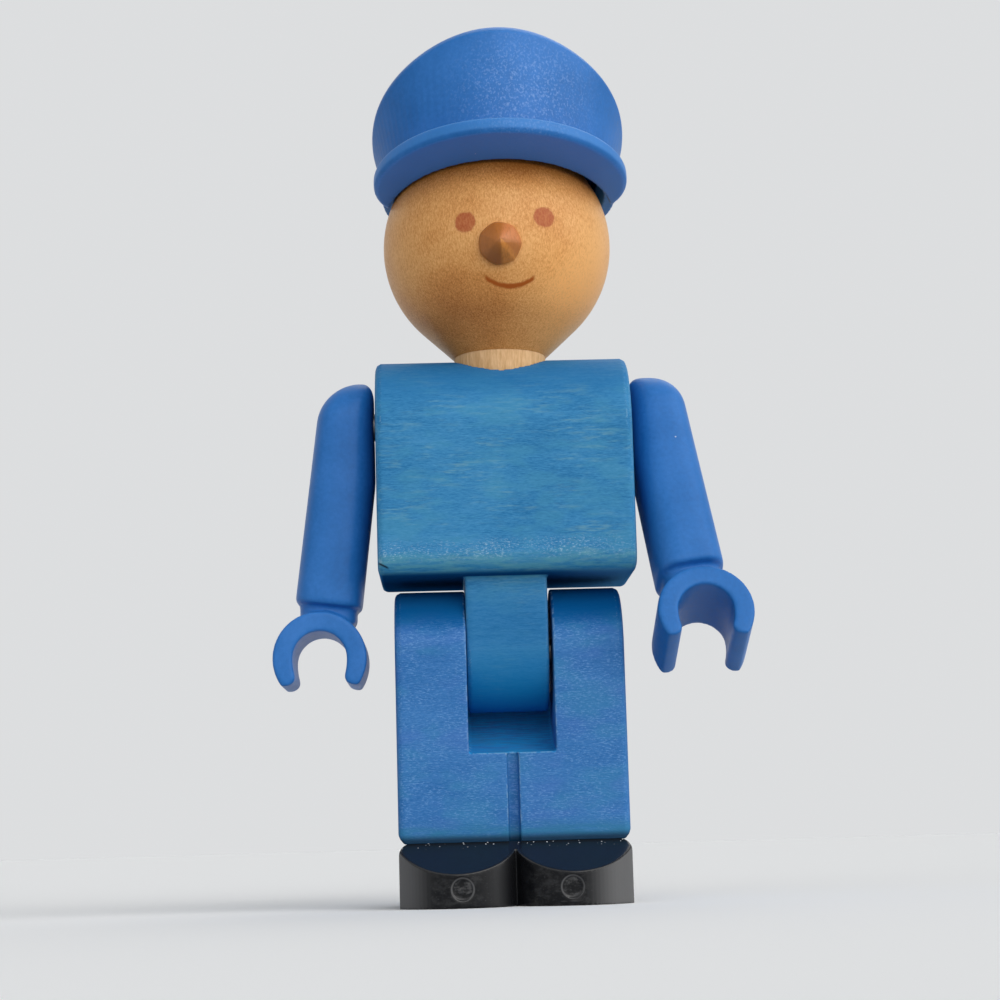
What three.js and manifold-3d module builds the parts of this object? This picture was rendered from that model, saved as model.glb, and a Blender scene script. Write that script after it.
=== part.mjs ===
import * as THREE from 'three';
import { mergeVertices } from 'three/addons/utils/BufferGeometryUtils.js';
import Module from 'manifold-3d';

const wasm = await Module();
wasm.setup();

// Jointed wooden toy figure with a ball head and a peaked cap.
// Millimetres and degrees. It stands on z = 0 and faces -Y, with its left hand on +X.

// Fits
const RUN_GAP = 0.3; // between pieces that move on one another or lie face to face
const GLUE_GAP = 0.1; // around pins, pegs and dowels that are glued or pressed in

// Shoes
const SHOE_HEIGHT = 6.6;
const SHOE_INSET = 0.05; // inside the legs' sides
const SHOE_EDGE_ROUND = 1.2;
const HEEL_ROUND = 1.5;
const TOE_FLATNESS = 0.5; // toe's radius past half a shoe's width
const TOE_REACH = 5.2; // in front of the legs
const TOE_TIP_HEIGHT = 3.4;
const SHOE_PEG_RADIUS = 2;
const SHOE_PEG_LENGTH = 5;
const TOE_MARK_RADIUS = 1.15;
const TOE_MARK_DEPTH = 0.25;
const TOE_MARK_HEIGHT = 1.9;
const TOE_MARK_IN = 0.45; // from the toe's middle towards the other shoe

// Leg block
const LEG_WIDTH = 24.1;
const LEG_DEPTH = 13.5;
const HIP_ABOVE_FOOT = 19.7; // from the block's foot to the hip axis
const WOOD_EDGE_ROUND = 0.6;
const SLOT_SILL = 8.8; // front edge of the slot above the block's foot
const SLOT_BACK_DROP = 3.6; // back edge of the slot below the hip axis
const SAW_RADIUS = 20; // the slot's floor is a saw's arc
const GROOVE_WIDTH = 1.25;
const GROOVE_DEPTH = 1;
const HIP_PIN_RADIUS = 1.5;
const HIP_PIN_INSET = 0.5;

// Torso block
const TORSO_WIDTH = 27.2;
const TORSO_DEPTH = 17.7;
const TORSO_HEIGHT = 23.9;
const TORSO_HEM_ROUND = 2;
const WAIST_GAP = 1.25; // between the round leg tops and the torso
const TONGUE_WIDTH = 8.3;
const TONGUE_PLAY = 0.4; // on each side in the slot
const TONGUE_INSET = 0.45; // behind the legs' faces
const SHOULDER_DROP = 6.9; // shoulder axis below the torso's top
const AXLE_RADIUS = 1.5;
const AXLE_BITE = 4.5; // of each end inside an arm

// Arms
const ARM_WIDTH = 6.25; // at the shoulder
const ARM_DEPTH = 9.6;
const ARM_LENGTH = 19.7; // from shoulder axis to cuff
const ARM_LEAN = 7.4;
const ARM_PAD = 6; // flat against the torso below the axis
const SHOULDER_CREST_OUT = 4.6; // outer corner of the shoulder, width and height
const SHOULDER_CREST_DOWN = 4.4;
const SHOULDER_CREST_IN = 1.3; // inner corner of the shoulder, width and height
const SHOULDER_CREST_IN_DOWN = 1.7;
const CUFF_WIDTH = 7.1;
const CUFF_DEPTH = 9.2;
const CUFF_ROUND = 0.4;
const SLEEVE_SQUARENESS = 3.2; // 2 is an ellipse in section
const WRIST_WIDTH = 6.1;
const WRIST_DEPTH = 7;
const WRIST_BITE = 1.8; // inside the sleeve
const LEFT_ARM_RAISE = 21;
const RIGHT_ARM_RAISE = 0;

// Clip hands
const GRIP_RADIUS = 2.87; // springs over a 6 mm stick
const GRIP_WALL = 2.1;
const GRIP_LENGTH = 9.4;
const GRIP_MOUTH = 5.2;
const GRIP_DROP = 5.7; // grip axis below the cuff
const GRIP_OUT = 0.85; // grip axis outside the cuff's middle
const JAW_REACH = 2.9; // jaw tips below the grip axis
const JAW_LIP_DROP = 1.9; // narrowest place of the mouth below the grip axis
const GRIP_EDGE_ROUND = 0.35;

// Head
const HEAD_RADIUS = 12.5;
const HEAD_LIFT = 0.37; // of the ball's lowest point over the torso's ridge
const CHIN_ANGLE = 47; // below the equator, where the ball runs out in a cone to the neck
const CHIN_RIM = 0.3; // left of the cone round the neck
const NECK_RADIUS = 5;
const NECK_SEAT = 4.2; // depth of the neck's hole in the torso
const NECK_BITE = 7; // of the dowel inside the ball
const NOSE_RADIUS = 2.3;
const NOSE_DROP = 12.3; // degrees below the ball's equator
const NOSE_BITE = 5;
const NOSE_COLLAR = 0.35; // plain rim that shows before the cone
const NOSE_CONE = 1.7;
const NOSE_TIP_RADIUS = 0.45;

// Cap, its heights measured from the ball's centre
const CAP_PLAY = 0.6; // between the ball and the loose cap
const CAP_SHIFT = 0.45; // it has slipped that far to the left
const CAP_TILT = 9.5; // of the band, to the back
const CAP_RIM = 5.9;
const CAP_BAND_PROUD = 0.5; // past the ball's own radius
const CAP_BAND_HEIGHT = 1.5;
const CAP_WALL = 1.8;
const CROWN_OVERHANG = 1.05; // past the band
const CROWN_TILT = 40; // the top slopes down to the back
const CROWN_RISE = 0.2; // middle of the crown's edge above the ball
const CROWN_BACK = 1.15;
const CROWN_BACK_LIFT = 3; // the slope eases off towards the back edge
const CROWN_ROOT = 0.5; // of the crown inside the band
const CROWN_EDGE_ROUND = 3.05;
const CROWN_DOME = 0.8;
const VISOR_TILT = 14.6;
const VISOR_RIM = 3.75;
const VISOR_LIP = 0.1; // its underside below the band's edge
const VISOR_INSIDE = 1; // of the plate inside the ball's socket
const VISOR_TIP_SHY = 1.77; // inside the ball's own radius
const VISOR_REACH = 7.5; // at the front, past the tips
const VISOR_THICKNESS = 1.85;
const VISOR_SPAN = 81; // degrees to each side of the front
const VISOR_TIP = 0.97; // share of the span where the tips end
const VISOR_EDGE_ROUND = 0.4;

// Finishes
const STAINED_WOOD = { color: '#2f78b4', roughness: 0.6 };
const LACQUERED_WOOD = { color: '#cf9a5f', roughness: 0.35 };
const RED_WOOD = { color: '#9c5c37', roughness: 0.4 };
const BARE_WOOD = { color: '#d8b98d', roughness: 0.7 };
const BLUE_MOULDING = { color: '#3a70bd', roughness: 0.45 };
const BLACK_MOULDING = { color: '#1b1c1f', roughness: 0.42 };
const STEEL = { color: '#b8bbc0', roughness: 0.3, metalness: 1 };

// Facets
const ROUND_SIDES = 32;
const BALL_SIDES = 44;
const BALL_RINGS = 26;
const ARC_STEPS = 8;
const CREST_START = 86; // degrees up the round of the shoulder
const BEVEL_STEPS = 2;
const CROWN_TOP_STEPS = 4;
const VISOR_STEPS = 32;
const WELD = 1e-4; // points closer than this are one

// Heights and faces that follow from the driving dimensions
const legFootZ = SHOE_HEIGHT + RUN_GAP;
const legFrontY = -LEG_DEPTH / 2;
const toeX = (LEG_WIDTH / 2 - SHOE_INSET) / 2;
const hipZ = legFootZ + HIP_ABOVE_FOOT;
const torsoBaseZ = hipZ + LEG_DEPTH / 2 + WAIST_GAP;
const torsoTopZ = torsoBaseZ + TORSO_HEIGHT;
const shoulderZ = torsoTopZ - SHOULDER_DROP;
const armX = TORSO_WIDTH / 2 + RUN_GAP;
const headZ = torsoTopZ + HEAD_LIFT + HEAD_RADIUS;
const bandRadius = HEAD_RADIUS + CAP_BAND_PROUD;
const bandTop = CAP_RIM + CAP_BAND_HEIGHT;
const socketRadius = HEAD_RADIUS + CAP_PLAY;
const clearOfPart = TORSO_WIDTH + LEG_DEPTH; // long enough for any cutter

const radians = THREE.MathUtils.degToRad;

// Profiles are drawn flat: one lies in YZ and runs along X, the other in XZ and runs along -Y.
const YZ_ALONG_X = new THREE.Matrix4().makeBasis(
  new THREE.Vector3(0, 1, 0), new THREE.Vector3(0, 0, 1), new THREE.Vector3(1, 0, 0));
const XZ_ALONG_Y = new THREE.Matrix4().makeBasis(
  new THREE.Vector3(1, 0, 0), new THREE.Vector3(0, 0, 1), new THREE.Vector3(0, -1, 0));

// A closed geometry as a solid for joining and cutting.
function solid(geometry) {
  const bare = geometry.clone();
  bare.deleteAttribute('normal');
  bare.deleteAttribute('uv');
  const merged = mergeVertices(bare, WELD);
  const corners = merged.index.array;
  const triangles = [];
  for (let i = 0; i < corners.length; i += 3) {
    const [a, b, c] = corners.slice(i, i + 3);
    if (a !== b && b !== c && c !== a) triangles.push(a, b, c);
  }
  return new wasm.Manifold(new wasm.Mesh({
    numProp: 3,
    vertProperties: Float32Array.from(merged.attributes.position.array),
    triVerts: Uint32Array.from(triangles),
  }));
}

// A solid back as a geometry.
function geometryOf(body) {
  const mesh = body.getMesh();
  const geometry = new THREE.BufferGeometry();
  geometry.setAttribute('position', new THREE.BufferAttribute(mesh.vertProperties, 3));
  geometry.setIndex(new THREE.BufferAttribute(mesh.triVerts, 1));
  geometry.computeVertexNormals();
  return geometry;
}

// A flat profile run through a length, centred, with its end edges rounded.
function run(shape, length, round, basis) {
  const geometry = new THREE.ExtrudeGeometry(shape, {
    depth: length - 2 * round,
    bevelEnabled: round > 0,
    bevelThickness: round,
    bevelSize: round,
    bevelOffset: -round,
    bevelSegments: BEVEL_STEPS,
    curveSegments: ARC_STEPS,
  });
  geometry.translate(0, 0, round - length / 2);
  return geometry.applyMatrix4(basis);
}

// A plain round bar about the origin, along X, Y or Z.
function bar(radius, length, along) {
  const geometry = new THREE.CylinderGeometry(radius, radius, length, ROUND_SIDES);
  if (along === 'x') geometry.rotateZ(-Math.PI / 2);
  if (along === 'z') geometry.rotateX(Math.PI / 2);
  return geometry;
}

// A profile of radius and height, both ends on the axis, turned about Z.
function turned(profile, sides) {
  return new THREE.LatheGeometry(profile, sides).rotateX(Math.PI / 2);
}

// A skin over rings of equal count, closed by a fan at each end.
function loft(rings) {
  const count = rings[0].length;
  const points = rings.flat();
  const indices = [];
  for (let r = 0; r + 1 < rings.length; r++) {
    for (let i = 0; i < count; i++) {
      const a = r * count + i;
      const b = r * count + (i + 1) % count;
      indices.push(a, b, a + count, b, b + count, a + count);
    }
  }
  for (const [ring, flip] of [[0, true], [rings.length - 1, false]]) {
    const middle = new THREE.Vector3();
    rings[ring].forEach((p) => middle.addScaledVector(p, 1 / count));
    const hub = points.push(middle) - 1;
    for (let i = 0; i < count; i++) {
      const a = ring * count + i;
      const b = ring * count + (i + 1) % count;
      indices.push(...(flip ? [hub, b, a] : [hub, a, b]));
    }
  }
  const geometry = new THREE.BufferGeometry().setFromPoints(points);
  geometry.setIndex(indices);
  return geometry;
}

// The same piece for the other side of the body.
function mirrored(geometry) {
  const copy = geometry.clone().scale(-1, 1, 1);
  const index = copy.index.array;
  for (let i = 0; i < index.length; i += 3) {
    [index[i], index[i + 1]] = [index[i + 1], index[i]];
  }
  copy.computeVertexNormals();
  return copy;
}

function piece(name, geometry, finish) {
  const mesh = new THREE.Mesh(geometry, new THREE.MeshStandardMaterial(finish));
  mesh.name = name;
  return mesh;
}

// Both shoes in one moulding: two round toes in plan, a sloped upper, rounded side edges.
function shoes() {
  const half = 2 * toeX;
  const heelY = LEG_DEPTH / 2;
  const toeY = legFrontY - TOE_REACH;
  const toeRadius = toeX + TOE_FLATNESS;
  const toeCentreY = toeY + toeRadius;
  const toeAngle = Math.acos(toeX / toeRadius);
  const toeSideY = toeCentreY - toeRadius * Math.sin(toeAngle);

  const plan = new THREE.Shape();
  plan.moveTo(half, toeSideY);
  plan.lineTo(half, heelY - HEEL_ROUND);
  plan.absarc(half - HEEL_ROUND, heelY - HEEL_ROUND, HEEL_ROUND, 0, Math.PI / 2);
  plan.lineTo(HEEL_ROUND - half, heelY);
  plan.absarc(HEEL_ROUND - half, heelY - HEEL_ROUND, HEEL_ROUND, Math.PI / 2, Math.PI);
  plan.lineTo(-half, toeSideY);
  plan.absarc(-toeX, toeCentreY, toeRadius, Math.PI + toeAngle, 2 * Math.PI - toeAngle);
  plan.absarc(toeX, toeCentreY, toeRadius, Math.PI + toeAngle, 2 * Math.PI - toeAngle);
  const footprint = new THREE.ExtrudeGeometry(plan,
    { depth: SHOE_HEIGHT, bevelEnabled: false, curveSegments: 2 * ARC_STEPS });

  const front = new THREE.Shape();
  front.moveTo(-half, 0);
  front.lineTo(half, 0);
  front.absarc(half - SHOE_EDGE_ROUND, SHOE_HEIGHT - SHOE_EDGE_ROUND, SHOE_EDGE_ROUND, 0, Math.PI / 2);
  front.absarc(SHOE_EDGE_ROUND - half, SHOE_HEIGHT - SHOE_EDGE_ROUND, SHOE_EDGE_ROUND,
    Math.PI / 2, Math.PI);

  const upper = new THREE.Shape();
  upper.moveTo(toeY, 0);
  upper.lineTo(heelY, 0);
  upper.lineTo(heelY, SHOE_HEIGHT);
  upper.lineTo(legFrontY, SHOE_HEIGHT);
  upper.lineTo(toeY, TOE_TIP_HEIGHT);

  let body = solid(footprint)
    .intersect(solid(run(front, clearOfPart, 0, XZ_ALONG_Y)))
    .intersect(solid(run(upper, clearOfPart, 0, YZ_ALONG_X)));
  for (const side of [-1, 1]) {
    const peg = bar(SHOE_PEG_RADIUS, 2 * SHOE_PEG_LENGTH, 'z').translate(side * toeX, 0, SHOE_HEIGHT);
    const mark = bar(TOE_MARK_RADIUS, 2 * TOE_MARK_DEPTH, 'y');
    mark.translate(side * (toeX - TOE_MARK_IN), toeY, TOE_MARK_HEIGHT);
    body = body.add(solid(peg)).subtract(solid(mark));
  }
  return geometryOf(body);
}

// The slot's cutter: everything over a saw's arc that climbs from the sill to the back edge.
function hipSlot() {
  const sill = new THREE.Vector2(legFrontY, legFootZ + SLOT_SILL);
  const back = new THREE.Vector2(-legFrontY, hipZ - SLOT_BACK_DROP);
  const chord = back.clone().sub(sill);
  const rise = Math.sqrt(SAW_RADIUS ** 2 - chord.lengthSq() / 4);
  const up = new THREE.Vector2(-chord.y, chord.x).normalize();
  const centre = sill.clone().addScaledVector(chord, 0.5).addScaledVector(up, rise);
  const angleTo = (p) => Math.atan2(p.y - centre.y, p.x - centre.x);
  const top = hipZ + LEG_DEPTH;

  const shape = new THREE.Shape();
  shape.moveTo(legFrontY - WOOD_EDGE_ROUND, sill.y);
  shape.absarc(centre.x, centre.y, SAW_RADIUS, angleTo(sill), angleTo(back));
  shape.lineTo(back.x + WOOD_EDGE_ROUND, back.y);
  shape.lineTo(back.x + WOOD_EDGE_ROUND, top);
  shape.lineTo(legFrontY - WOOD_EDGE_ROUND, top);
  return run(shape, TONGUE_WIDTH + 2 * TONGUE_PLAY, 0, YZ_ALONG_X);
}

// One block for both legs, round over the hip, slotted for the tongue, grooved in front.
function legBlock() {
  const profile = new THREE.Shape();
  profile.moveTo(legFrontY, legFootZ);
  profile.lineTo(-legFrontY, legFootZ);
  profile.absarc(0, hipZ, LEG_DEPTH / 2, 0, Math.PI);

  const grooveHeight = 2 * SLOT_SILL;
  const groove = new THREE.BoxGeometry(GROOVE_WIDTH, 2 * GROOVE_DEPTH, grooveHeight);
  groove.translate(0, legFrontY, legFootZ);
  let body = solid(run(profile, LEG_WIDTH, WOOD_EDGE_ROUND, YZ_ALONG_X))
    .subtract(solid(hipSlot()))
    .subtract(solid(groove))
    .subtract(solid(bar(HIP_PIN_RADIUS + GLUE_GAP, clearOfPart, 'x').translate(0, 0, hipZ)));
  const holeDepth = SHOE_PEG_LENGTH + GLUE_GAP;
  for (const x of [-toeX, toeX]) {
    const hole = bar(SHOE_PEG_RADIUS + GLUE_GAP, 2 * holeDepth, 'z').translate(x, 0, SHOE_HEIGHT);
    body = body.subtract(solid(hole));
  }
  return geometryOf(body);
}

function hipPin() {
  return bar(HIP_PIN_RADIUS, LEG_WIDTH - 2 * HIP_PIN_INSET, 'x').translate(0, 0, hipZ);
}

// Full-round top, rounded hem, and a tongue that drops into the legs and turns on the hip pin.
function torsoBlock() {
  const half = TORSO_DEPTH / 2;
  const profile = new THREE.Shape();
  profile.absarc(0, torsoTopZ - half, half, 0, Math.PI);
  profile.absarc(TORSO_HEM_ROUND - half, torsoBaseZ + TORSO_HEM_ROUND, TORSO_HEM_ROUND,
    Math.PI, 1.5 * Math.PI);
  profile.absarc(half - TORSO_HEM_ROUND, torsoBaseZ + TORSO_HEM_ROUND, TORSO_HEM_ROUND,
    1.5 * Math.PI, 2 * Math.PI);

  const tongueRadius = LEG_DEPTH / 2 - TONGUE_INSET;
  const tongue = new THREE.Shape();
  tongue.absarc(0, hipZ, tongueRadius, Math.PI, 2 * Math.PI);
  tongue.lineTo(tongueRadius, torsoBaseZ + TORSO_HEM_ROUND);
  tongue.lineTo(-tongueRadius, torsoBaseZ + TORSO_HEM_ROUND);

  const neckHole = bar(NECK_RADIUS + RUN_GAP, 2 * NECK_SEAT, 'z').translate(0, 0, torsoTopZ);
  return geometryOf(solid(run(profile, TORSO_WIDTH, WOOD_EDGE_ROUND, YZ_ALONG_X))
    .add(solid(run(tongue, TONGUE_WIDTH, WOOD_EDGE_ROUND / 2, YZ_ALONG_X)))
    .subtract(solid(bar(HIP_PIN_RADIUS + RUN_GAP, clearOfPart, 'x').translate(0, 0, hipZ)))
    .subtract(solid(bar(AXLE_RADIUS + GLUE_GAP, clearOfPart, 'x').translate(0, 0, shoulderZ)))
    .subtract(solid(neckHole)));
}

function shoulderAxle() {
  return bar(AXLE_RADIUS, 2 * (armX + AXLE_BITE), 'x').translate(0, 0, shoulderZ);
}

// One level of the sleeve: a rounded box, tipped with the arm's lean.
function sleeveRing(inner, outer, z, depth, tip) {
  const squared = (share) => Math.sign(share) * Math.abs(share) ** (2 / SLEEVE_SQUARENESS);
  return Array.from({ length: ROUND_SIDES }, (_, i) => {
    const angle = 2 * Math.PI * (i + 0.5) / ROUND_SIDES;
    const across = squared(Math.cos(angle));
    const along = squared(Math.sin(angle));
    const x = (inner + outer) / 2 + across * (outer - inner) / 2;
    return new THREE.Vector3(x, along * depth / 2, z + across * (outer - inner) / 2 * Math.tan(tip));
  });
}

// How far a corner has drawn in at a height over its start.
function crest(width, height, over) {
  const share = Math.min(Math.max(over / height, 0), 1);
  return width * (1 - Math.sqrt(1 - share ** 2));
}

// Sleeve from the round shoulder down to the cuff, x measured out from the torso.
function sleeve() {
  const top = ARM_DEPTH / 2;
  const lean = Math.tan(radians(ARM_LEAN));
  const cuffOuter = ARM_WIDTH + ARM_LENGTH * lean;
  const cuffInner = cuffOuter - CUFF_WIDTH;
  const padEnd = ARM_PAD / ARM_LENGTH;
  const rings = [];
  const level = (z, depth, inset = 0) => {
    const down = Math.max(-z, 0) / ARM_LENGTH;
    const away = cuffInner * Math.max(down - padEnd, 0) / (1 - padEnd);
    const inner = away + crest(SHOULDER_CREST_IN, SHOULDER_CREST_IN_DOWN, z - top + SHOULDER_CREST_IN_DOWN);
    const outer = ARM_WIDTH - z * lean - crest(SHOULDER_CREST_OUT, SHOULDER_CREST_DOWN,
      z - top + SHOULDER_CREST_DOWN);
    rings.push(sleeveRing(inner + inset, outer - inset, z, depth - 2 * inset, radians(ARM_LEAN) * down));
  };
  for (let i = 0; i <= ARC_STEPS; i++) {
    const angle = radians(CREST_START) * (1 - i / ARC_STEPS);
    level(top * Math.sin(angle), 2 * top * Math.cos(angle));
  }
  const depthAt = (share) => THREE.MathUtils.lerp(ARM_DEPTH, CUFF_DEPTH, share);
  for (const share of [padEnd, (padEnd + 1) / 2]) level(-share * ARM_LENGTH, depthAt(share));
  level(CUFF_ROUND - ARM_LENGTH, CUFF_DEPTH);
  level(-ARM_LENGTH, CUFF_DEPTH, CUFF_ROUND);
  return { geometry: loft(rings.reverse()), cuffX: (cuffOuter + cuffInner) / 2 };
}

// Open ring with two jaws, drawn about the grip's axis with its mouth down.
function gripShape() {
  const outer = GRIP_RADIUS + GRIP_WALL;
  const mouth = GRIP_MOUTH / 2;
  const tipAngle = Math.asin(JAW_REACH / outer);
  const tipX = outer * Math.cos(tipAngle);
  const shape = new THREE.Shape();
  shape.absarc(0, 0, outer, -tipAngle, Math.PI + tipAngle);
  shape.quadraticCurveTo(-mouth, -JAW_REACH, -mouth, -JAW_LIP_DROP);
  shape.quadraticCurveTo(-GRIP_RADIUS, -JAW_LIP_DROP / 2, -GRIP_RADIUS, 0);
  shape.absarc(0, 0, GRIP_RADIUS, Math.PI, 0, true);
  shape.quadraticCurveTo(GRIP_RADIUS, -JAW_LIP_DROP / 2, mouth, -JAW_LIP_DROP);
  shape.quadraticCurveTo(mouth, -JAW_REACH, tipX, -JAW_REACH);
  return shape;
}

// Sleeve, wrist and clip hand in one moulding, about the shoulder axis.
function arm() {
  const { geometry, cuffX } = sleeve();
  const gripZ = -ARM_LENGTH - GRIP_DROP;
  const wristTop = WRIST_BITE - ARM_LENGTH;
  const wristFoot = gripZ + GRIP_RADIUS + GRIP_WALL / 2;
  const wrist = new THREE.BoxGeometry(WRIST_WIDTH, WRIST_DEPTH, wristTop - wristFoot);
  wrist.translate(cuffX, 0, (wristTop + wristFoot) / 2);
  const grip = run(gripShape(), GRIP_LENGTH, GRIP_EDGE_ROUND, XZ_ALONG_Y);
  grip.translate(cuffX + GRIP_OUT, 0, gripZ);
  const socket = bar(AXLE_RADIUS + RUN_GAP, 2 * (AXLE_BITE + RUN_GAP), 'x');
  return geometryOf(solid(geometry).add(solid(wrist)).add(solid(grip)).subtract(solid(socket)));
}

function neckDowel() {
  const foot = torsoTopZ - NECK_SEAT + RUN_GAP;
  const top = headZ - HEAD_RADIUS + NECK_BITE;
  return bar(NECK_RADIUS, top - foot, 'z').translate(0, 0, (top + foot) / 2);
}

// Ball that runs out in a cone to the neck, with a hole for the neck and one for the nose.
function headBall() {
  const chin = radians(CHIN_ANGLE);
  const profile = [];
  for (let i = 0; i <= BALL_RINGS; i++) {
    const angle = -chin + (Math.PI / 2 + chin) * i / BALL_RINGS;
    profile.push(new THREE.Vector2(HEAD_RADIUS * Math.cos(angle), HEAD_RADIUS * Math.sin(angle)));
  }
  const drop = (profile[0].x - NECK_RADIUS - CHIN_RIM) / Math.tan(chin);
  const foot = profile[0].y - drop;
  profile.unshift(new THREE.Vector2(0, foot), new THREE.Vector2(NECK_RADIUS + CHIN_RIM, foot));
  profile[profile.length - 1].x = 0;
  const ball = turned(profile, BALL_SIDES);
  const neckHole = bar(NECK_RADIUS + GLUE_GAP, 2 * (NECK_BITE + GLUE_GAP), 'z');
  neckHole.translate(0, 0, -HEAD_RADIUS);
  const noseHole = bar(NOSE_RADIUS + GLUE_GAP, 2 * (NOSE_BITE + GLUE_GAP), 'y');
  noseHole.translate(0, -HEAD_RADIUS, 0).rotateX(radians(NOSE_DROP));
  return geometryOf(solid(ball).subtract(solid(neckHole)).subtract(solid(noseHole)));
}

// Peg with a pointed end, from its seat in the ball outward.
function nosePeg() {
  const profile = [
    [0, -NOSE_BITE],
    [NOSE_RADIUS, -NOSE_BITE],
    [NOSE_RADIUS, NOSE_COLLAR],
    [NOSE_TIP_RADIUS, NOSE_COLLAR + NOSE_CONE],
    [0, NOSE_COLLAR + NOSE_CONE + NOSE_TIP_RADIUS / 2],
  ].map(([radius, height]) => new THREE.Vector2(radius, height));
  const peg = turned(profile, ROUND_SIDES).rotateX(Math.PI / 2);
  return geometryOf(solid(peg.translate(0, -HEAD_RADIUS, 0).rotateX(radians(NOSE_DROP))));
}

// A circle about a point, tipped back by some degrees and lifted along its own axis, more so at the back.
function tippedRing(centre, radius, tilt, lift, backLift = 0) {
  const front = new THREE.Vector3(0, -Math.cos(radians(tilt)), Math.sin(radians(tilt)));
  const up = new THREE.Vector3(0, Math.sin(radians(tilt)), Math.cos(radians(tilt)));
  return Array.from({ length: BALL_SIDES }, (_, i) => {
    const angle = 2 * Math.PI * i / BALL_SIDES;
    const behind = Math.max(-Math.cos(angle), 0);
    const point = centre.clone().addScaledVector(front, radius * Math.cos(angle));
    return point.addScaledVector(up, lift + backLift * behind ** 2).setX(radius * Math.sin(angle));
  });
}

// The crown, set in by a wall: from the band out to a round edge, over a slightly domed, sloping top.
function crown(inset) {
  const origin = new THREE.Vector3();
  const middle = new THREE.Vector3(0, CROWN_BACK, HEAD_RADIUS + CROWN_RISE);
  const edge = CROWN_EDGE_ROUND - inset;
  const edgeCircle = bandRadius + CROWN_OVERHANG - CROWN_EDGE_ROUND;
  const rings = [tippedRing(origin, bandRadius - CROWN_ROOT - inset, CAP_TILT, bandTop - CROWN_ROOT)];
  for (let i = 0; i <= ARC_STEPS; i++) {
    const angle = Math.PI / 2 * i / ARC_STEPS;
    const radius = edgeCircle + edge * Math.cos(angle);
    rings.push(tippedRing(middle, radius, CROWN_TILT, edge * Math.sin(angle), CROWN_BACK_LIFT));
  }
  for (let i = 1; i < CROWN_TOP_STEPS; i++) {
    const share = 1 - i / CROWN_TOP_STEPS;
    const lift = edge + CROWN_DOME * (1 - share ** 2);
    rings.push(tippedRing(middle, edgeCircle * share, CROWN_TILT, lift, CROWN_BACK_LIFT * share ** 2));
  }
  return loft(rings);
}

// Crescent plate round the front, from inside the socket to a rounded edge.
function visor() {
  const inside = socketRadius - VISOR_INSIDE;
  const rings = [];
  for (let i = 0; i <= VISOR_STEPS; i++) {
    const share = Math.sin(Math.PI * (i / VISOR_STEPS - 0.5)) * VISOR_TIP;
    const angle = radians(VISOR_SPAN) * share;
    const edge = HEAD_RADIUS - VISOR_TIP_SHY + VISOR_REACH * Math.sqrt(1 - share ** 2);
    const section = [
      [inside, 0],
      [edge - VISOR_EDGE_ROUND, 0],
      [edge, VISOR_EDGE_ROUND],
      [edge, VISOR_THICKNESS - VISOR_EDGE_ROUND],
      [edge - VISOR_EDGE_ROUND, VISOR_THICKNESS],
      [inside, VISOR_THICKNESS],
    ];
    rings.push(section.map(([radius, height]) =>
      new THREE.Vector3(radius * Math.sin(angle), -radius * Math.cos(angle), VISOR_RIM + height)));
  }
  return loft(rings.reverse()).rotateX(-radians(VISOR_TILT));
}

// Hollow cap about the ball's centre. In front the band ends a hair over the visor's underside.
function cap() {
  const band = bar(bandRadius, CAP_BAND_HEIGHT, 'z').translate(0, 0, CAP_RIM + CAP_BAND_HEIGHT / 2);
  const underVisor = new THREE.BoxGeometry(clearOfPart, clearOfPart, clearOfPart);
  underVisor.translate(0, 0, VISOR_RIM + VISOR_LIP - clearOfPart / 2).rotateX(-radians(VISOR_TILT));
  const socket = new THREE.SphereGeometry(socketRadius, BALL_SIDES, BALL_RINGS).rotateX(Math.PI / 2);
  return geometryOf(solid(band.rotateX(-radians(CAP_TILT)))
    .subtract(solid(underVisor))
    .add(solid(crown(0)))
    .add(solid(visor()))
    .subtract(solid(crown(CAP_WALL)))
    .subtract(solid(socket)));
}

const legs = new THREE.Group();
legs.add(
  piece('shoes', shoes(), BLACK_MOULDING),
  piece('leg_block', legBlock(), STAINED_WOOD),
  piece('hip_pin', hipPin(), STEEL),
);

const torso = new THREE.Group();
torso.add(
  piece('torso_block', torsoBlock(), STAINED_WOOD),
  piece('shoulder_axle', shoulderAxle(), STEEL),
);

const armGeometry = arm();
const leftArm = piece('arm_left', armGeometry, BLUE_MOULDING);
leftArm.position.set(armX, 0, shoulderZ);
leftArm.rotation.x = -radians(LEFT_ARM_RAISE);
const rightArm = piece('arm_right', mirrored(armGeometry), BLUE_MOULDING);
rightArm.position.set(-armX, 0, shoulderZ);
rightArm.rotation.x = -radians(RIGHT_ARM_RAISE);

const head = new THREE.Group();
head.position.z = headZ;
const capPiece = piece('cap', cap(), BLUE_MOULDING);
capPiece.position.x = CAP_SHIFT;
head.add(
  piece('head_ball', headBall(), LACQUERED_WOOD),
  piece('nose_peg', nosePeg(), RED_WOOD),
  capPiece,
);

const figure = new THREE.Group();
figure.add(legs, torso, leftArm, rightArm, piece('neck_dowel', neckDowel(), BARE_WOOD), head);

export default figure;
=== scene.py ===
"""Looks of a jointed wooden toy figure with a ball head and a peaked cap, in millimetres and degrees."""

import math
from math import radians

import bmesh
import bpy
from mathutils import Matrix, Vector


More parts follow.
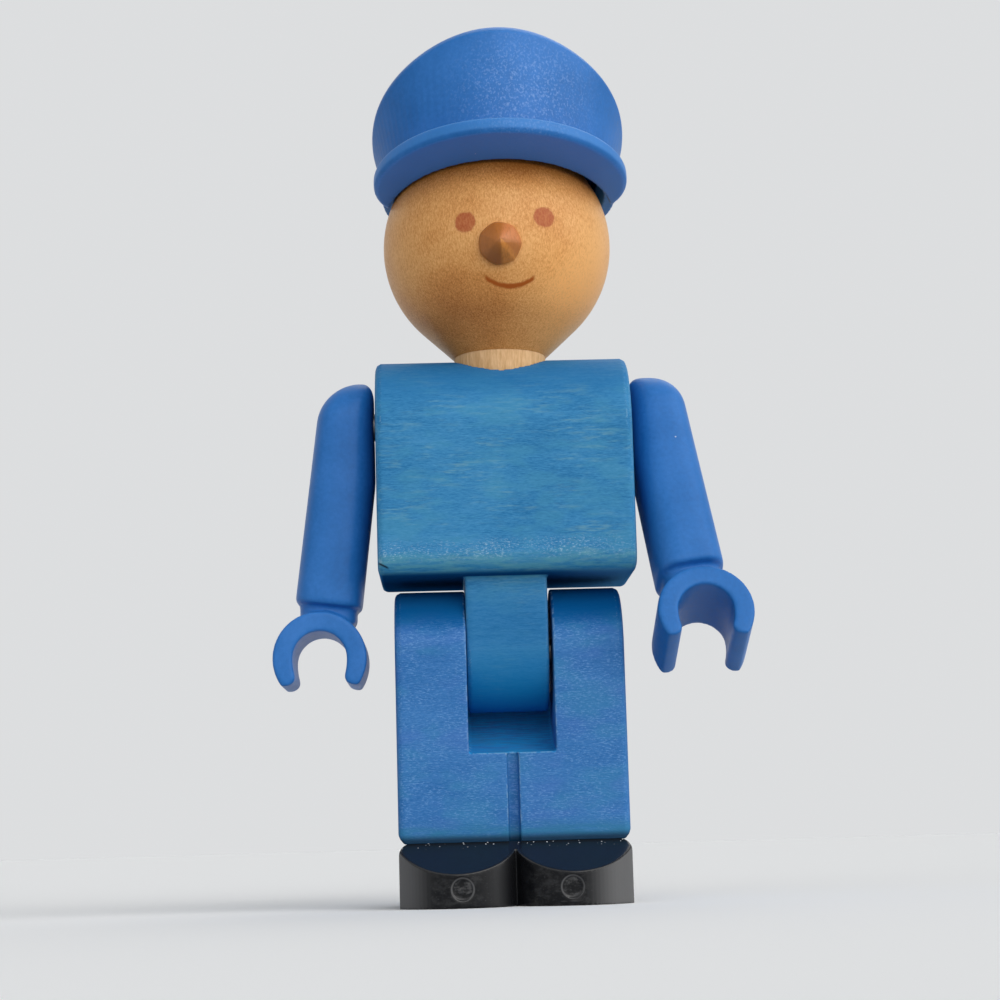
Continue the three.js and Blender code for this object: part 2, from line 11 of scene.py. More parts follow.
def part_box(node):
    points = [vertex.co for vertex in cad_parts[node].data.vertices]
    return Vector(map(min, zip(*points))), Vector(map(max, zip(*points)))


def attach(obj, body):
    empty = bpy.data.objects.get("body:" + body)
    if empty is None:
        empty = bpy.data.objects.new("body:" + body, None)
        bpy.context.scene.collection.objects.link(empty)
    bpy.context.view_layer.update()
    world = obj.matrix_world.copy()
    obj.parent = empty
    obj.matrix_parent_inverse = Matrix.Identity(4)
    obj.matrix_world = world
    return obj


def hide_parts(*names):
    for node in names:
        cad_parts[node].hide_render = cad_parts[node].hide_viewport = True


MM = 0.001

# Camera, its focal length in pixels of a 1000 pixel image
CAMERA_PLACE = (-6.67, -237.83, 6.40)
CAMERA_YAW = 1.508
CAMERA_PITCH = 8.818
CAMERA_ROLL = -1.596
CAMERA_CLIP = 10
FOCAL_PIXELS = 2212.2
IMAGE_PIXELS = 1000
SENSOR = 36

# Stage and light; a lamp's direction points to it
FLOOR_RADIUS = 4000
FLOOR_THICKNESS = 1
FLOOR_ROUGHNESS = 0.9
FLOOR_LIGHT = 0.765  # what a white floor throws back under these lamps
BACKDROP_COLOUR = (0.72, 0.73, 0.74, 1)
FLOOR_BOUNCE_COLOUR = (0.50, 0.51, 0.53, 1)
AMBIENT_COLOUR = (0.96, 0.98, 1.0, 1)
AMBIENT_STRENGTH = 0.30
LAMPS = {
    "key": {"towards": (0.95, -1.0, 0.50), "spread": 90, "power": 2.9, "tint": (1.0, 0.985, 0.96)},
    "fill": {"towards": (-0.50, -1.0, 0.30), "spread": 60, "power": 0.45, "tint": (0.96, 0.98, 1.0)},
    "rim": {"towards": (0.25, 0.70, 0.90), "spread": 40, "power": 0.35, "tint": (1.0, 1.0, 1.0)},
}

# Wood blocks
TORSO_HEIGHT = 23.9  # over the tongue
LEG_DEPTH = 13.5
SOLE_GAP = 0.36  # the legs' foot is set down by this
TONGUE_HALF = 4.15
TONGUE_CORNER = 0.3  # points this near the tongue's left side move with it
TONGUE_SHIFT = 0.36
HEM_ROUND = 2
HEM_DROP = 0.3
SAME = 0.01  # places closer than this count as one
FACET_SAG = 0.15  # most that a facet lies off its round
ROUND_FACING = 0.97  # least cosine between a point's normal and its round's

# Arms, x measured out from the torso's side, z from the shoulder axis
ARM_WIDTH = 6.25
ARM_DEPTH = 9.6
ARM_LENGTH = 19.7
ARM_LEAN = 7.4
ARM_PAD = 6  # upright stretch of the inner side, under the axis
SHOULDER_CREST_OUT = (4.6, 4.4)  # width and height of the rounded corner
SHOULDER_CREST_IN = (1.3, 1.7)
SHOULDER_CREST_START = 88
CUFF_WIDTH = 7.1
CUFF_DEPTH = 9.2
CUFF_ROUND = 0.5
CUFF_STEPS = 4
SLEEVE_SQUARENESS = 3.2
WRIST = (6.1, 7.0)  # width and depth
WRIST_BITE = 1.8
AXLE_BORE = (1.8, 4.8)  # radius and depth
LEFT_ARM_RAISE = 21
GRIP_RADIUS = 2.87
GRIP_WALL = 2.1
GRIP_LENGTH = 9.4
GRIP_MOUTH = 5.2
GRIP_DROP = 5.7
GRIP_OUT = 0.85
JAW_REACH = 2.9
JAW_LIP_DROP = 1.9

# Head and face, the printed face about the ball's centre in X and Z
CHIN_ANGLE = 47  # below the equator, where the ball runs out in a cone
CHIN_RIM = 0.05
NECK_RADIUS = 5
NECK_EASING = ((0.4, 0), (0.1, 0.12), (0, 0.45))  # inset and height of the eased foot
NECK_LACQUER_START = 0.9  # over the torso's top
NOSE_DROP = 12.3
NOSE_FACETS = 7
NOSE_FACET_SHARE = 0.4
NOSE_PROFILE = ((2.3, -1.0), (2.3, 0.2), (2.2, 0.45), (1.72, 1.0), (1.15, 1.6), (0.66, 2.02),
                (0.3, 2.22), (0, 2.27))
NOSE_PROFILE_STEPS = 6
EYES = ((-3.6, -0.19), (4.77, 0.30))
EYE_RADIUS = 1.12
MOUTH_CENTRE = (1.0, -2.64)
MOUTH_RADIUS = 4.2
MOUTH_HALF_WIDTH = 2.6
MOUTH_HALF_THICKNESS = 0.24
MOUTH_TAPER = 0.06

# Cap, about the ball's centre
CAP_PLAY = 0.6
CAP_SHIFT = 0.45
CAP_TILT = 9.5
CAP_RIM = 5.9
CAP_BAND_PROUD = 0.5
CAP_BAND_HEIGHT = 1.5
CAP_WALL = 1.8
CROWN_OVERHANG = 1.05
CROWN_TILT = 40
CROWN_RISE = 0.2
CROWN_BACK = 1.15
CROWN_BACK_LIFT = 3
CROWN_SIDE_DROP = 0.7
CROWN_ROOT = 0.5
CROWN_EDGE_ROUND = 3.05
CROWN_DOME = 0.8
VISOR_TILT = 14.6
VISOR_RIM = 3.75
VISOR_LIP = 0.1
VISOR_INSIDE = 1
VISOR_TIP_SHY = 1.77
VISOR_REACH = 7.5
VISOR_THICKNESS = 1.85
VISOR_SPAN = 81
VISOR_TIP = 0.97
VISOR_EDGE_ROUND = 0.4
CUTTER_REACH = 4  # in ball radii
CUTTER_SIDES = 4

# Fineness of the meshes; softenings are rounds of smoothing
RING_POINTS = 96
ARC_POINTS = 24
VISOR_STEPS = 96
BALL_SEGMENTS = 128
BALL_RINGS = 96
MESH_WELD = 0.0001
POLE_RADIUS = 0.001  # stands for a point on the axis
WOOD_VOXEL = 0.16
PLASTIC_VOXEL = 0.2
SHOE_VOXEL = 0.12
CAP_VOXEL = 0.15
SOFTENING_FACTOR = 0.5
WOOD_SOFTENING = 2
PLASTIC_SOFTENING = 8
SHOE_SOFTENING = 2
CAP_JOIN_SOFTENING = 1
CAP_SOFTENING = 3
PIN_CHAMFER = 0.25
PIN_CHAMFER_STEPS = 2
PIN_EDGE_ANGLE = 50
PIN_WELD = 0.001
SHARP_ANGLE = 35

# Colours, linear
STAIN_DEEP = (0.012, 0.145, 0.35, 1)
STAIN_MID = (0.032, 0.218, 0.46, 1)
STAIN_PALE = (0.064, 0.290, 0.55, 1)
STAIN_GREEN = (0.19, 0.40, 0.42, 1)
STAIN_HAZE = (0.062, 0.290, 0.45, 1)
STAIN_HEM = (0.105, 0.350, 0.43, 1)
STAIN_WORN = (0.36, 0.56, 0.70, 1)
# Painted shade for the torso's upward faces and for the tongue just under the hem
PAINTED_SHADE_TOP = (0.010, 0.145, 0.38, 1)
STAIN_TONGUE_END = (0.003, 0.205, 0.50, 1)
# Painted shade for the torso's underside, paler to the right
UNDERSIDE_PAINTED_SHADE = (0.004, 0.070, 0.20, 1)
UNDERSIDE_PAINTED_SHADE_RIGHT = (0.10, 0.34, 0.62, 1)
STAIN_CRACK = (0.006, 0.016, 0.035, 1)
# Painted shade for the legs' round tops under the torso
LEG_TOP_PAINTED_SHADE = (0.0004, 0.085, 0.27, 1)
# Painted shade along the legs' foot edge
LEG_SOLE_PAINTED_SHADE = (0.001, 0.030, 0.075, 1)
LEG_FOOT = (0.026, 0.185, 0.36, 1)
LEG_DEEP = (0.012, 0.125, 0.38, 1)
LEG_MID = (0.032, 0.170, 0.46, 1)
LEG_PALE = (0.056, 0.225, 0.54, 1)
LEG_GREEN = (0.040, 0.240, 0.45, 1)
LEG_VIOLET = (0.062, 0.165, 0.52, 1)
LEG_FLECK = (0.15, 0.34, 0.66, 1)
LEG_FIBRE = (0.018, 0.310, 0.68, 1)
PLASTIC_DEEP = (0.010, 0.130, 0.42, 1)
PLASTIC_MID = (0.020, 0.160, 0.495, 1)
PLASTIC_PALE = (0.036, 0.195, 0.575, 1)
# Painted bounce light for the visor's underside
VISOR_UNDER_PAINTED_LIGHT = (0.075, 0.240, 0.72, 1)
# Painted highlight for the visor's top, edge and ridge
PLASTIC_EDGE_HIGHLIGHT = (0.070, 0.290, 0.70, 1)
# Painted glints in the crown's painted highlight
PLASTIC_PAINTED_GLINT = (0.34, 0.52, 0.88, 1)
DUST = (0.75, 0.78, 0.82, 1)
SHOE_BLACK = (0.006, 0.0065, 0.008, 1)
# Grey for scuffs, scratches and toe marks, and painted reflection and light on the toes' flanks
SHOE_GREY_WEAR_AND_SHEEN = (0.13, 0.131, 0.134, 1)
BALL_PALE = (0.86, 0.465, 0.17, 1)
BALL_MID = (0.67, 0.295, 0.079, 1)
BALL_DARK = (0.40, 0.130, 0.022, 1)
# Painted warm light for the ball's lower right
BALL_WARM_PAINTED_LIGHT = (0.98, 0.455, 0.13, 1)
EYE_PRINT = (0.41, 0.078, 0.018, 1)
MOUTH_PRINT = (0.37, 0.078, 0.001, 1)
# Lit and shaded copies of the nose's end grain, for painted light and shade on its wedges
NOSE_PALE_LIT = (0.60, 0.21, 0.066, 1)
NOSE_BRIGHT_LIT = (0.60, 0.225, 0.038, 1)
NOSE_MID = (0.43, 0.145, 0.027, 1)
NOSE_DARK_GRAIN_AND_SHADE = (0.34, 0.112, 0.017, 1)
BARE_PALE = (0.82, 0.53, 0.275, 1)
BARE_DARK = (0.64, 0.36, 0.15, 1)
NECK_LACQUER = (0.34, 0.155, 0.05, 1)
# Steel darkened as painted shade where a pin shows in the hip's gap
STEEL_PALE_SHADED = (0.18, 0.185, 0.195, 1)
STEEL_DARK_SHADED = (0.08, 0.083, 0.09, 1)
# Wedges painted paler and brighter to the right, darker to the lower left, as painted light and shade
NOSE_LIT_AND_SHADED_WEDGES = ((0.0, NOSE_MID), (0.10, NOSE_MID), (0.14, NOSE_DARK_GRAIN_AND_SHADE), (0.25, NOSE_DARK_GRAIN_AND_SHADE), (0.28, NOSE_BRIGHT_LIT),
               (0.37, NOSE_BRIGHT_LIT), (0.41, NOSE_MID), (0.46, NOSE_MID), (0.52, NOSE_PALE_LIT), (0.68, NOSE_PALE_LIT),
               (0.74, NOSE_MID))

# Noise and specks
SEED_STEPS = (1, 2.3, 3.1)  # how far one seed's noise lies from the next's
SPECK_CORE = 0.6  # share of a speck's radius that is full
SPECK_FADE = 0.9  # share of the chosen cells whose specks are full

# Stained wood: patches, streaks and fibres
STAIN_GRAINS = (
    {"size": (11, 6, 4.5)},
    {"size": (3.2, 0.45, 0.36), "roughness": 0.6, "distortion": 0.2},
    {"size": (0.6, 0.12, 0.12), "roughness": 0.65},
)
STAIN_TONE_WEIGHTS = (0.34, 0.22, 0.44)
STAIN_RELIEF_WEIGHTS = (0, 0.35, 0.65)
STAIN_STOPS = (0.36, 0.5, 0.66)

# Torso's stain, with painted shade on its upward faces, on the tongue under the hem and on its underside;
# heights over the torso's base, the crack's from its left corner
TORSO_SEED = 1
TORSO_FRONT = ("Y", -0.1, -0.4)
# Upward faces take painted shade
TORSO_UPWARD_SHADE = ("Z", 0.15, 0.75, 0, 0.7)
# Downward faces near the base take painted shade
TORSO_DOWNWARD_SHADE = ("Z", -0.75, -0.98)
DASH = {"size": (2.4, 0.42, 0.34), "roughness": 0.6, "seed": 5, "cut": (0.46, 0.74)}
DASH_PATCH = {"size": (6, 5, 3.5), "detail": 2, "seed": 6, "cut": (0.42, 0.62)}
DASH_RISE = (-0.6, 0.6, 0.35, 0.46)
HAZE = {"size": (4.5, 3, 1.8), "seed": 11, "cut": (0.46, 0.66, 0, 0.8)}
HEM_BAND = (-0.6, 1.7, 0.5)
HEM_GRAIN = {"size": (2.6, 0.6, 0.4), "seed": 7, "cut": (0.36, 0.62, 0.1, 0.6)}
RUBBED_BAND = (1.3, 3.2, 0.7)
RUBBED_GRAIN = {"size": (0.34, 0.16, 0.13), "detail": 2, "roughness": 0.7, "seed": 8,
                "cut": (0.50, 0.70, 0, 0.75)}
RUBBED_PATCH = {"size": (4, 2, 2), "detail": 2, "seed": 9, "cut": (0.34, 0.60, 0.25, 0.95)}
TORSO_EDGE = (0.51, 0.55)
TORSO_EDGE_GRAIN = {"size": (0.6, 0.6, 0.6), "detail": 2, "seed": 10, "cut": (0.3, 0.6, 0, 0.5)}
TONGUE_SHADE = (0, -4, 0, 0.5)
TONGUE_END = (-7, -12.5, 0, 0.7)
# Levels and sideways span of the underside's painted shade, paler to the right
UNDERSIDE_SHADE_BAND = (-1, -0.5)
UNDERSIDE_SHADE_RIGHT = (3, 13, 0, 0.7)
CRACK_SLOPE = 0.5
CRACK_LINE = (0.95, 1.15, 0.1)
CRACK_SPAN = (0.1, 1.1, 0.2)
CRACK_FRONT = ("Y", 0, -0.2)
TORSO_ROUGHNESS = (0.3, 0.7, 0.68, 0.5)
TORSO_DULL = ("Z", -0.3, -0.8)
TORSO_SPECULAR = (0, 1, 0.18, 0)
TORSO_BUMP = (0.10, 0.3)

# Legs' stain, with painted shade on the round tops and along the foot's edge; heights over the foot or over
# the hip's axis
LEG_SEED = 12
LEG_FRONT = ("Y", -0.75, -0.97)
LEG_UPWARD = ("Z", 0.1, 0.5)
GREEN_PATCH = {"size": (6, 4, 3), "detail": 2, "seed": 20, "cut": (0.50, 0.68, 0, 0.4)}
VIOLET_PATCH = {"size": (7, 4, 3), "detail": 2, "seed": 15, "cut": (0.48, 0.66, 0, 0.35)}
FLECK = {"size": (0.42, 0.13, 0.13), "detail": 2, "roughness": 0.7, "seed": 16, "cut": (0.48, 0.68, 0, 0.65)}
FLECK_PATCH = {"size": (3, 3, 2.2), "detail": 2, "seed": 17, "cut": (0.32, 0.60, 0.4, 0.95)}
# Heights over the hip where the round tops take painted shade
TOP_SHADE_OVER_HIP = (0.4, 4.4, 0, 0.9)
SLOT_UNDER_HIP = (0, -1)
SLOT_FIBRE = {"size": (2.2, 0.2, 0.2), "roughness": 0.6, "seed": 26, "cut": (0.40, 0.62, 0.2, 0.9)}
FOOT_STRIP = (2.3, 0.5)
FOOT_GRAIN = {"size": (3, 1, 0.5), "seed": 18, "cut": (0.35, 0.62, 0.4, 0.9)}
FOOT_SHADE = (0.75, -0.1)
LEG_EDGE = (0.51, 0.56)
LEG_EDGE_GRAIN = {"size": (0.5, 0.5, 0.5), "detail": 2, "seed": 19, "cut": (0.4, 0.62)}
LEG_EDGE_RISE = (1.0, 2.0, 0, 0.45)
LEG_ROUGHNESS = (0.3, 0.7, 0.66, 0.5)
LEG_SPECULAR = (0, 1, 0.2, 0)
LEG_BUMP = (0.12, 0.42)

# Blue plastic: clouds, mottle and pebbles
PLASTIC_GRAINS = (
    {"size": (9, 9, 9), "detail": 2},
    {"size": (0.5, 0.5, 0.5), "detail": 2},
    {"size": (0.2, 0.2, 0.2), "detail": 2},
)
PLASTIC_WEIGHTS = (0.7, 0.3)
PLASTIC_STOPS = (0.32, 0.5, 0.70)
PLASTIC_SPECKS = {"spacing": 2.6, "radius": 0.1, "share": 0.14}
PLASTIC_DUST_SHARE = 0.6
PLASTIC_ROUGHNESS = (0.3, 0.7, 0.38, 0.48)
PLASTIC_SPECULAR = 0.25
PLASTIC_BUMP = (0.03, 0.3)
ARM_LEFT_SEED = 81
ARM_RIGHT_SEED = 85
CAP_SEED = 89

# Cap's plastic, levels over the visor's underside, the highlight about the ball's centre in X and Z; the
# visor carries painted highlights on its top and edge, painted bounce light under it, the crown's front a
# painted highlight with painted glints
# Painted highlights on the visor's top, edge and ridge
VISOR_FACE_HIGHLIGHT = (0.4, VISOR_THICKNESS + 0.1, 0.15)
VISOR_FACE_HIGHLIGHT_SHARE = 0.3
VISOR_RIDGE_HIGHLIGHT = (VISOR_THICKNESS - 0.35, VISOR_THICKNESS, 0.1)
VISOR_RIDGE_HIGHLIGHT_SHARE = 0.5
# Painted bounce light on the visor's underside
VISOR_DOWNWARD_LIGHT = ("Z", -0.6, -0.95)
VISOR_UNDERSIDE_LIGHT = (0.5, 0.2, 0, 0.6)
HIGHLIGHT_CENTRE = (3.2, 14.63)
HIGHLIGHT_FALL = (10.5, 1)
HIGHLIGHT_FRONT = ("Y", 0, -0.5)
# Painted glints, only where the painted highlight falls
PAINTED_GLINTS = {"size": (0.24, 0.24, 0.30), "roughness": 0.6, "cut": (0.46, 0.72, 0, 0.42)}
PAINTED_GLINTS_SEED_STEP = 4
PAINTED_HIGHLIGHT_SHARE = 0.03

# Shoes' plastic, the seam's level from the legs' foot, the toe's mark in X and Z; grey on the toes' flanks
# is painted reflection and light, black in the crease between the toes painted shade
SHOE_UPWARD = ("Z", 0.1, 0.5)
SCUFF = {"size": (1.5, 1.5, 0.9), "detail": 5, "roughness": 0.7, "seed": 21, "cut": (0.42, 0.70)}
SCUFF_SHARE = 0.2
SCRATCH = {"size": (3.5, 0.14, 0.14), "seed": 22, "cut": (0.58, 0.72, 0, 0.25)}
SHOES_MIDDLE = (-0.3, 0.3)
# The crease between the toes kept black as painted shade
CREASE_SHADE_SPAN = (0.5, 2.0, 0.1, 1)
# The toes' flanks greyed as painted reflection and painted light
RIGHT_FLANK_REFLECTION = ("X", 0.05, 0.7)
LEFT_FLANK_REFLECTION = ("X", -0.3, -0.9)
LEFT_INNER_FLANK_LIGHT = ("X", 0.2, 0.9, 0, 0.3)
TOE_MARK = (5.55, 1.9)
TOE_MARK_RADIUS = 1.15
TOE_RING = (TOE_MARK_RADIUS - 0.1, TOE_MARK_RADIUS + 0.06, 0.08)
TOE_RING_SHARE = 0.75
TOE_DISH = (TOE_MARK_RADIUS, TOE_MARK_RADIUS - 0.3, 0, 0.8)
TOE_FRONT = ("Y", -0.2, -0.6)
SEAM_LEVEL = (-1.0, -0.5)
SEAM_UPWARD = ("Z", 0.6, 0.9)
SEAM_SPECKS = {"spacing": 0.45, "radius": 0.09, "share": 0.9, "seed": 25}
SHOE_SPECKS = {"spacing": 1.6, "radius": 0.06, "share": 0.12, "seed": 23}
SHOE_PEBBLE = {"size": (0.8, 0.8, 0.5), "detail": 4, "seed": 24}
SHOE_ROUGHNESS = (0, 0.7, 0.2, 0.5)
SHOE_SPECULAR = (0, 1, 0.5, 0.12)
SHOE_BUMP = (0.05, 0.25)

# Printed face
PRINT_RAGGED = {"size": (0.4, 0.4, 0.4), "detail": 2, "seed": 31, "cut": (0.2, 0.8, -0.08, 0.08)}
PRINT_THIN = {"size": (0.22, 0.22, 0.35), "detail": 2, "seed": 32, "cut": (0.3, 0.7, 0.7, 0.95)}
EYE_EDGE = (EYE_RADIUS + 0.14, EYE_RADIUS - 0.16)
MOUTH_EDGE = (MOUTH_HALF_THICKNESS + 0.12, MOUTH_HALF_THICKNESS - 0.12)
MOUTH_ENDS = (MOUTH_HALF_WIDTH + 0.2, MOUTH_HALF_WIDTH - 0.2)
MOUTH_RAGGED = 0.5

# Ball's lacquer: clouds, dashes and fine dashes, with painted light and shade: lighter low down, shaded low
# on the left, a painted shadow at the brow, painted light at the rim and painted warm light low on the
# right; places in ball radii
BALL_GRAINS = (
    {"size": (8, 8, 6), "detail": 2, "seed": 41},
    {"size": (0.16, 0.16, 0.45), "roughness": 0.6, "seed": 42},
    {"size": (0.1, 0.1, 0.22), "detail": 2, "seed": 43},
)
BALL_GRAIN_WEIGHTS = (0.30, 0.42, 0.28)
# Painted light and shade on the ball: lighter low down, shaded low on the left
BALL_LOW_LIGHT_AND_SHADE = (0.05, -0.75)
BALL_LOW_LIGHT_WEIGHT = 0.08
BALL_LEFT_SHADE = (0.55, -0.2)
BALL_LOW_LEFT_SHADE_WEIGHT = -0.19
# Painted shadow of the visor on the brow
BALL_BROW_SHADOW = (0.2, 0.55)
BALL_BROW_SHADOW_WEIGHT = -0.21
# Painted light at the rim
BALL_RIM_LIGHT = (0.6, 0.97)
BALL_RIM_LIGHT_WEIGHT = 0.05
BALL_STOPS = (0.27, 0.44, 0.60)
# Painted warm light low on the right
BALL_RIGHT_LIGHT = (0.15, 0.6)
BALL_WARM_LIGHT_DASH = (0.35, 0.65, 0.3, 0.9)
BALL_ROUGHNESS = (0.3, 0.7, 0.46, 0.34)
BALL_SPECULAR = 0.3
BALL_BUMP = (0.04, 0.25)

# Nose, neck and pins
NOSE_GRAIN = {"size": (0.16, 0.5, 0.5), "seed": 51}
NOSE_GRAIN_SHARE = (0.4, 0.7, 0, 0.45)
NOSE_ROUGHNESS = (0.3, 0.7, 0.38, 0.3)
NOSE_SPECULAR = 0.35
NOSE_BUMP = (0.04, 0.3)
BARE_STREAK = {"size": (0.4, 0.4, 2.5), "detail": 4, "roughness": 0.6, "distortion": 0.3, "seed": 55}
BARE_FINE = {"size": (0.12, 0.12, 0.75), "seed": 56}
BARE_WEIGHTS = (0.6, 0.4)
BARE_STOPS = (0.38, 0.60)
BARE_ROUGHNESS = (0.3, 0.7, 0.75, 0.6)
BARE_SPECULAR = 0.4
BARE_BUMP = (0.08, 0.4)
LACQUER_RAGGED = {"size": (0.7, 0.7, 3), "detail": 2, "seed": 57, "cut": (0, 1, -0.5, 0.5)}
LACQUER_RUN = (-0.25, 0.3, 0, 0.85)
BRUSHED = {"size": (0.06, 0.8, 0.8), "seed": 61}
STEEL_STOPS = (0.3, 0.7)
STEEL_ROUGHNESS = (0.3, 0.7, 0.38, 0.26)
STEEL_BUMP = (0.02, 0.2)


# Mesh work

def new_object(name, mesh):
    """A mesh put into the scene."""
    obj = bpy.data.objects.new(name, mesh)
    bpy.context.scene.collection.objects.link(obj)
    return obj


def tidy(mesh):
    """Joins doubled points and turns every face outward."""
    work = bmesh.new()
    work.from_mesh(mesh)
    bmesh.ops.remove_doubles(work, verts=work.verts, dist=MESH_WELD * MM)
    bmesh.ops.recalc_face_normals(work, faces=work.faces)
    work.to_mesh(mesh)
    work.free()


def skin(name, rings):
    """A closed skin over rings of equal count, given in millimetres."""
    count = len(rings[0])
    faces = []
    for ring in range(len(rings) - 1):
        for i in range(count):
            a = ring * count + i
            b = ring * count + (i + 1) % count
            faces.append((a, b, b + count, a + count))
    last = (len(rings) - 1) * count
    faces.append(tuple(reversed(range(count))))
    faces.append(tuple(range(last, last + count)))
    mesh = bpy.data.meshes.new(name)
    mesh.from_pydata([Vector(p) * MM for ring in rings for p in ring], [], faces)
    tidy(mesh)
    return new_object(name, mesh)


def turned(name, profile, segments, flats=None):
    """A profile of radius and height turned about Z, in millimetres, and drawn in where it has flats."""
    rings = []
    for radius, height in profile:
        ring = []
        for i in range(segments):
            angle = 2 * math.pi * i / segments
            r = max(radius, POLE_RADIUS) * (flats(angle) if flats else 1)
            ring.append((r * math.cos(angle), r * math.sin(angle), height))
        rings.append(ring)
    return skin(name, rings)


def settle(obj):
    """Turns the object's modifiers into plain mesh."""
    graph = bpy.context.evaluated_depsgraph_get()
    mesh = bpy.data.meshes.new_from_object(obj.evaluated_get(graph))
    obj.modifiers.clear()
    obj.data = mesh


def cut(obj, cutter):
    """Takes a closed cutter out of an object, and away."""
    modifier = obj.modifiers.new("cut", "BOOLEAN")
    modifier.operation = "DIFFERENCE"
    modifier.solver = "EXACT"
    modifier.object = cutter
    settle(obj)
    bpy.data.objects.remove(cutter)


def join(obj, *others):
    """Puts other closed shells into the same mesh."""
    work = bmesh.new()
    for part in (obj, *others):
        work.from_mesh(part.data)
    work.to_mesh(obj.data)
    work.free()
    for part in others:
        bpy.data.objects.remove(part)


def moulded(obj, voxel, softening):
    """Fuses overlapping shells to one fine skin and eases its edges."""
    remesh = obj.modifiers.new("fuse", "REMESH")
    remesh.mode = "VOXEL"
    remesh.voxel_size = voxel * MM
    smooth = obj.modifiers.new("ease", "SMOOTH")
    smooth.factor = SOFTENING_FACTOR
    smooth.iterations = softening
    settle(obj)
    obj.data.shade_smooth()


def trued(obj, axis_z, radius, side):
    """Puts a faceted round, over or under an axis along X, back on the true round."""
    moves = []
    for vertex in obj.data.vertices:
        out = Vector((0, vertex.co.y, vertex.co.z - axis_z * MM))
        off = radius * MM / out.length - 1
        near = abs(off) * radius < FACET_SAG and out.z * side > 0
        if near and vertex.normal.dot(out.normalized()) > ROUND_FACING:
            moves.append((vertex, out * off))
    for vertex, move in moves:
        vertex.co += move


def reshape(obj, matrix):
    """Moves, turns or mirrors the mesh itself."""
    obj.data.transform(matrix)
    if matrix.determinant() < 0:
        obj.data.flip_normals()


def copy_of(node, name):
    """A piece with a copy of a frame node's mesh."""
    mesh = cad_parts[node].data.copy()
    mesh.materials.clear()
    tidy(mesh)
    return new_object(name, mesh)


def smooth_by_angle(obj):
    obj.data.shade_smooth()
    obj.data.set_sharp_from_angle(angle=radians(SHARP_ANGLE))


def dress(obj, body, material, *nodes):
    """Gives a piece its material and its body, and hides the nodes that it stands for."""
    obj.data.materials.clear()
    obj.data.materials.append(material)
    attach(obj, body)
    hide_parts(*nodes)


# Material nodes

def add(tree, kind, inputs=None, **settings):
    """A new node, with its settings made and its sockets set or linked."""
    node = tree.nodes.new(kind)
    for key, value in settings.items():
        setattr(node, key, value)
    for key, value in (inputs or {}).items():
        if isinstance(value, bpy.types.NodeSocket):
            tree.links.new(value, node.inputs[key])
        else:
            node.inputs[key].default_value = value
    return node


def surface(name):
    """A new material, its nodes and its shader."""
    material = bpy.data.materials.new(name)
    material.use_nodes = True
    tree = material.node_tree
    return material, tree, tree.nodes["Principled BSDF"]


def place(tree, size, seed=0):
    """Object coordinates counted in features of that size, in millimetres."""
    coords = add(tree, "ShaderNodeTexCoord").outputs["Object"]
    shift = [seed * step for step in SEED_STEPS]
    scale = [1 / (s * MM) for s in size]
    return add(tree, "ShaderNodeMapping", {"Vector": coords, "Location": shift, "Scale": scale}).outputs[0]


def position(tree):
    """X, Y and Z of a point in millimetres."""
    return add(tree, "ShaderNodeSeparateXYZ", {0: place(tree, (1, 1, 1))}).outputs


def noise(tree, size, detail=3.0, roughness=0.55, distortion=0.0, seed=0):
    return add(tree, "ShaderNodeTexNoise",
               {"Vector": place(tree, size, seed), "Scale": 1.0, "Detail": detail,
                "Roughness": roughness, "Distortion": distortion}).outputs["Fac"]


def calc(tree, operation, a, b=0.0):
    return add(tree, "ShaderNodeMath", {0: a, 1: b}, operation=operation).outputs[0]


def product(tree, *values):
    result = values[0]
    for value in values[1:]:
        result = calc(tree, "MULTIPLY", result, value)
    return result


def most(tree, *values):
    """The largest of some values."""
    result = values[0]
    for value in values[1:]:
        result = calc(tree, "MAXIMUM", result, value)
    return result


def rest_of(tree, share):
    return calc(tree, "SUBTRACT", 1.0, share)


def blend(tree, *weighted):
    """Sum of values by their weights."""
    result = None
    for value, weight in weighted:
        term = calc(tree, "MULTIPLY", value, weight)
        result = term if result is None else calc(tree, "ADD", result, term)
    return result


def remap(tree, value, start, end, low=0.0, high=1.0):
    """Runs softly from a low to a high share while the value goes from its start to its end."""
    return add(tree, "ShaderNodeMapRange",
               {"Value": value, "From Min": start, "From Max": end, "To Min": low, "To Max": high},
               interpolation_type="SMOOTHSTEP").outputs["Result"]


def pattern(tree, cut, **grain):
    """Noise cut to shares; the cut holds what remap takes."""
    return remap(tree, noise(tree, **grain), *cut)


def band(tree, value, low, high, soft):
    """One between two values, fading over a soft edge."""
    return product(tree, remap(tree, value, low - soft, low + soft),
                   remap(tree, value, high + soft, high - soft))


def mix(tree, share, a, b):
    return add(tree, "ShaderNodeMix", {0: share, 6: a, 7: b}, data_type="RGBA").outputs[2]


def layered(tree, colour, *layers):
    """Lays colours over a first one in turn, each by its share."""
    for share, over in layers:
        colour = mix(tree, share, colour, over)
    return colour


def ramp(tree, value, *stops):
    node = add(tree, "ShaderNodeValToRGB", {"Fac": value})
    elements = node.color_ramp.elements
    while len(elements) < len(stops):
        elements.new(0.5)
    for element, (stop, colour) in zip(elements, stops):
        element.position = stop
        element.color = colour
    return node.outputs["Color"]


def bump(tree, shader, height, distance, strength):
    node = add(tree, "ShaderNodeBump", {"Height": height, "Distance": distance * MM, "Strength": strength})
    tree.links.new(node.outputs["Normal"], shader.inputs["Normal"])


def edges(tree, *cut):
    """Convex edges of the mesh."""
    return remap(tree, add(tree, "ShaderNodeNewGeometry").outputs["Pointiness"], *cut)


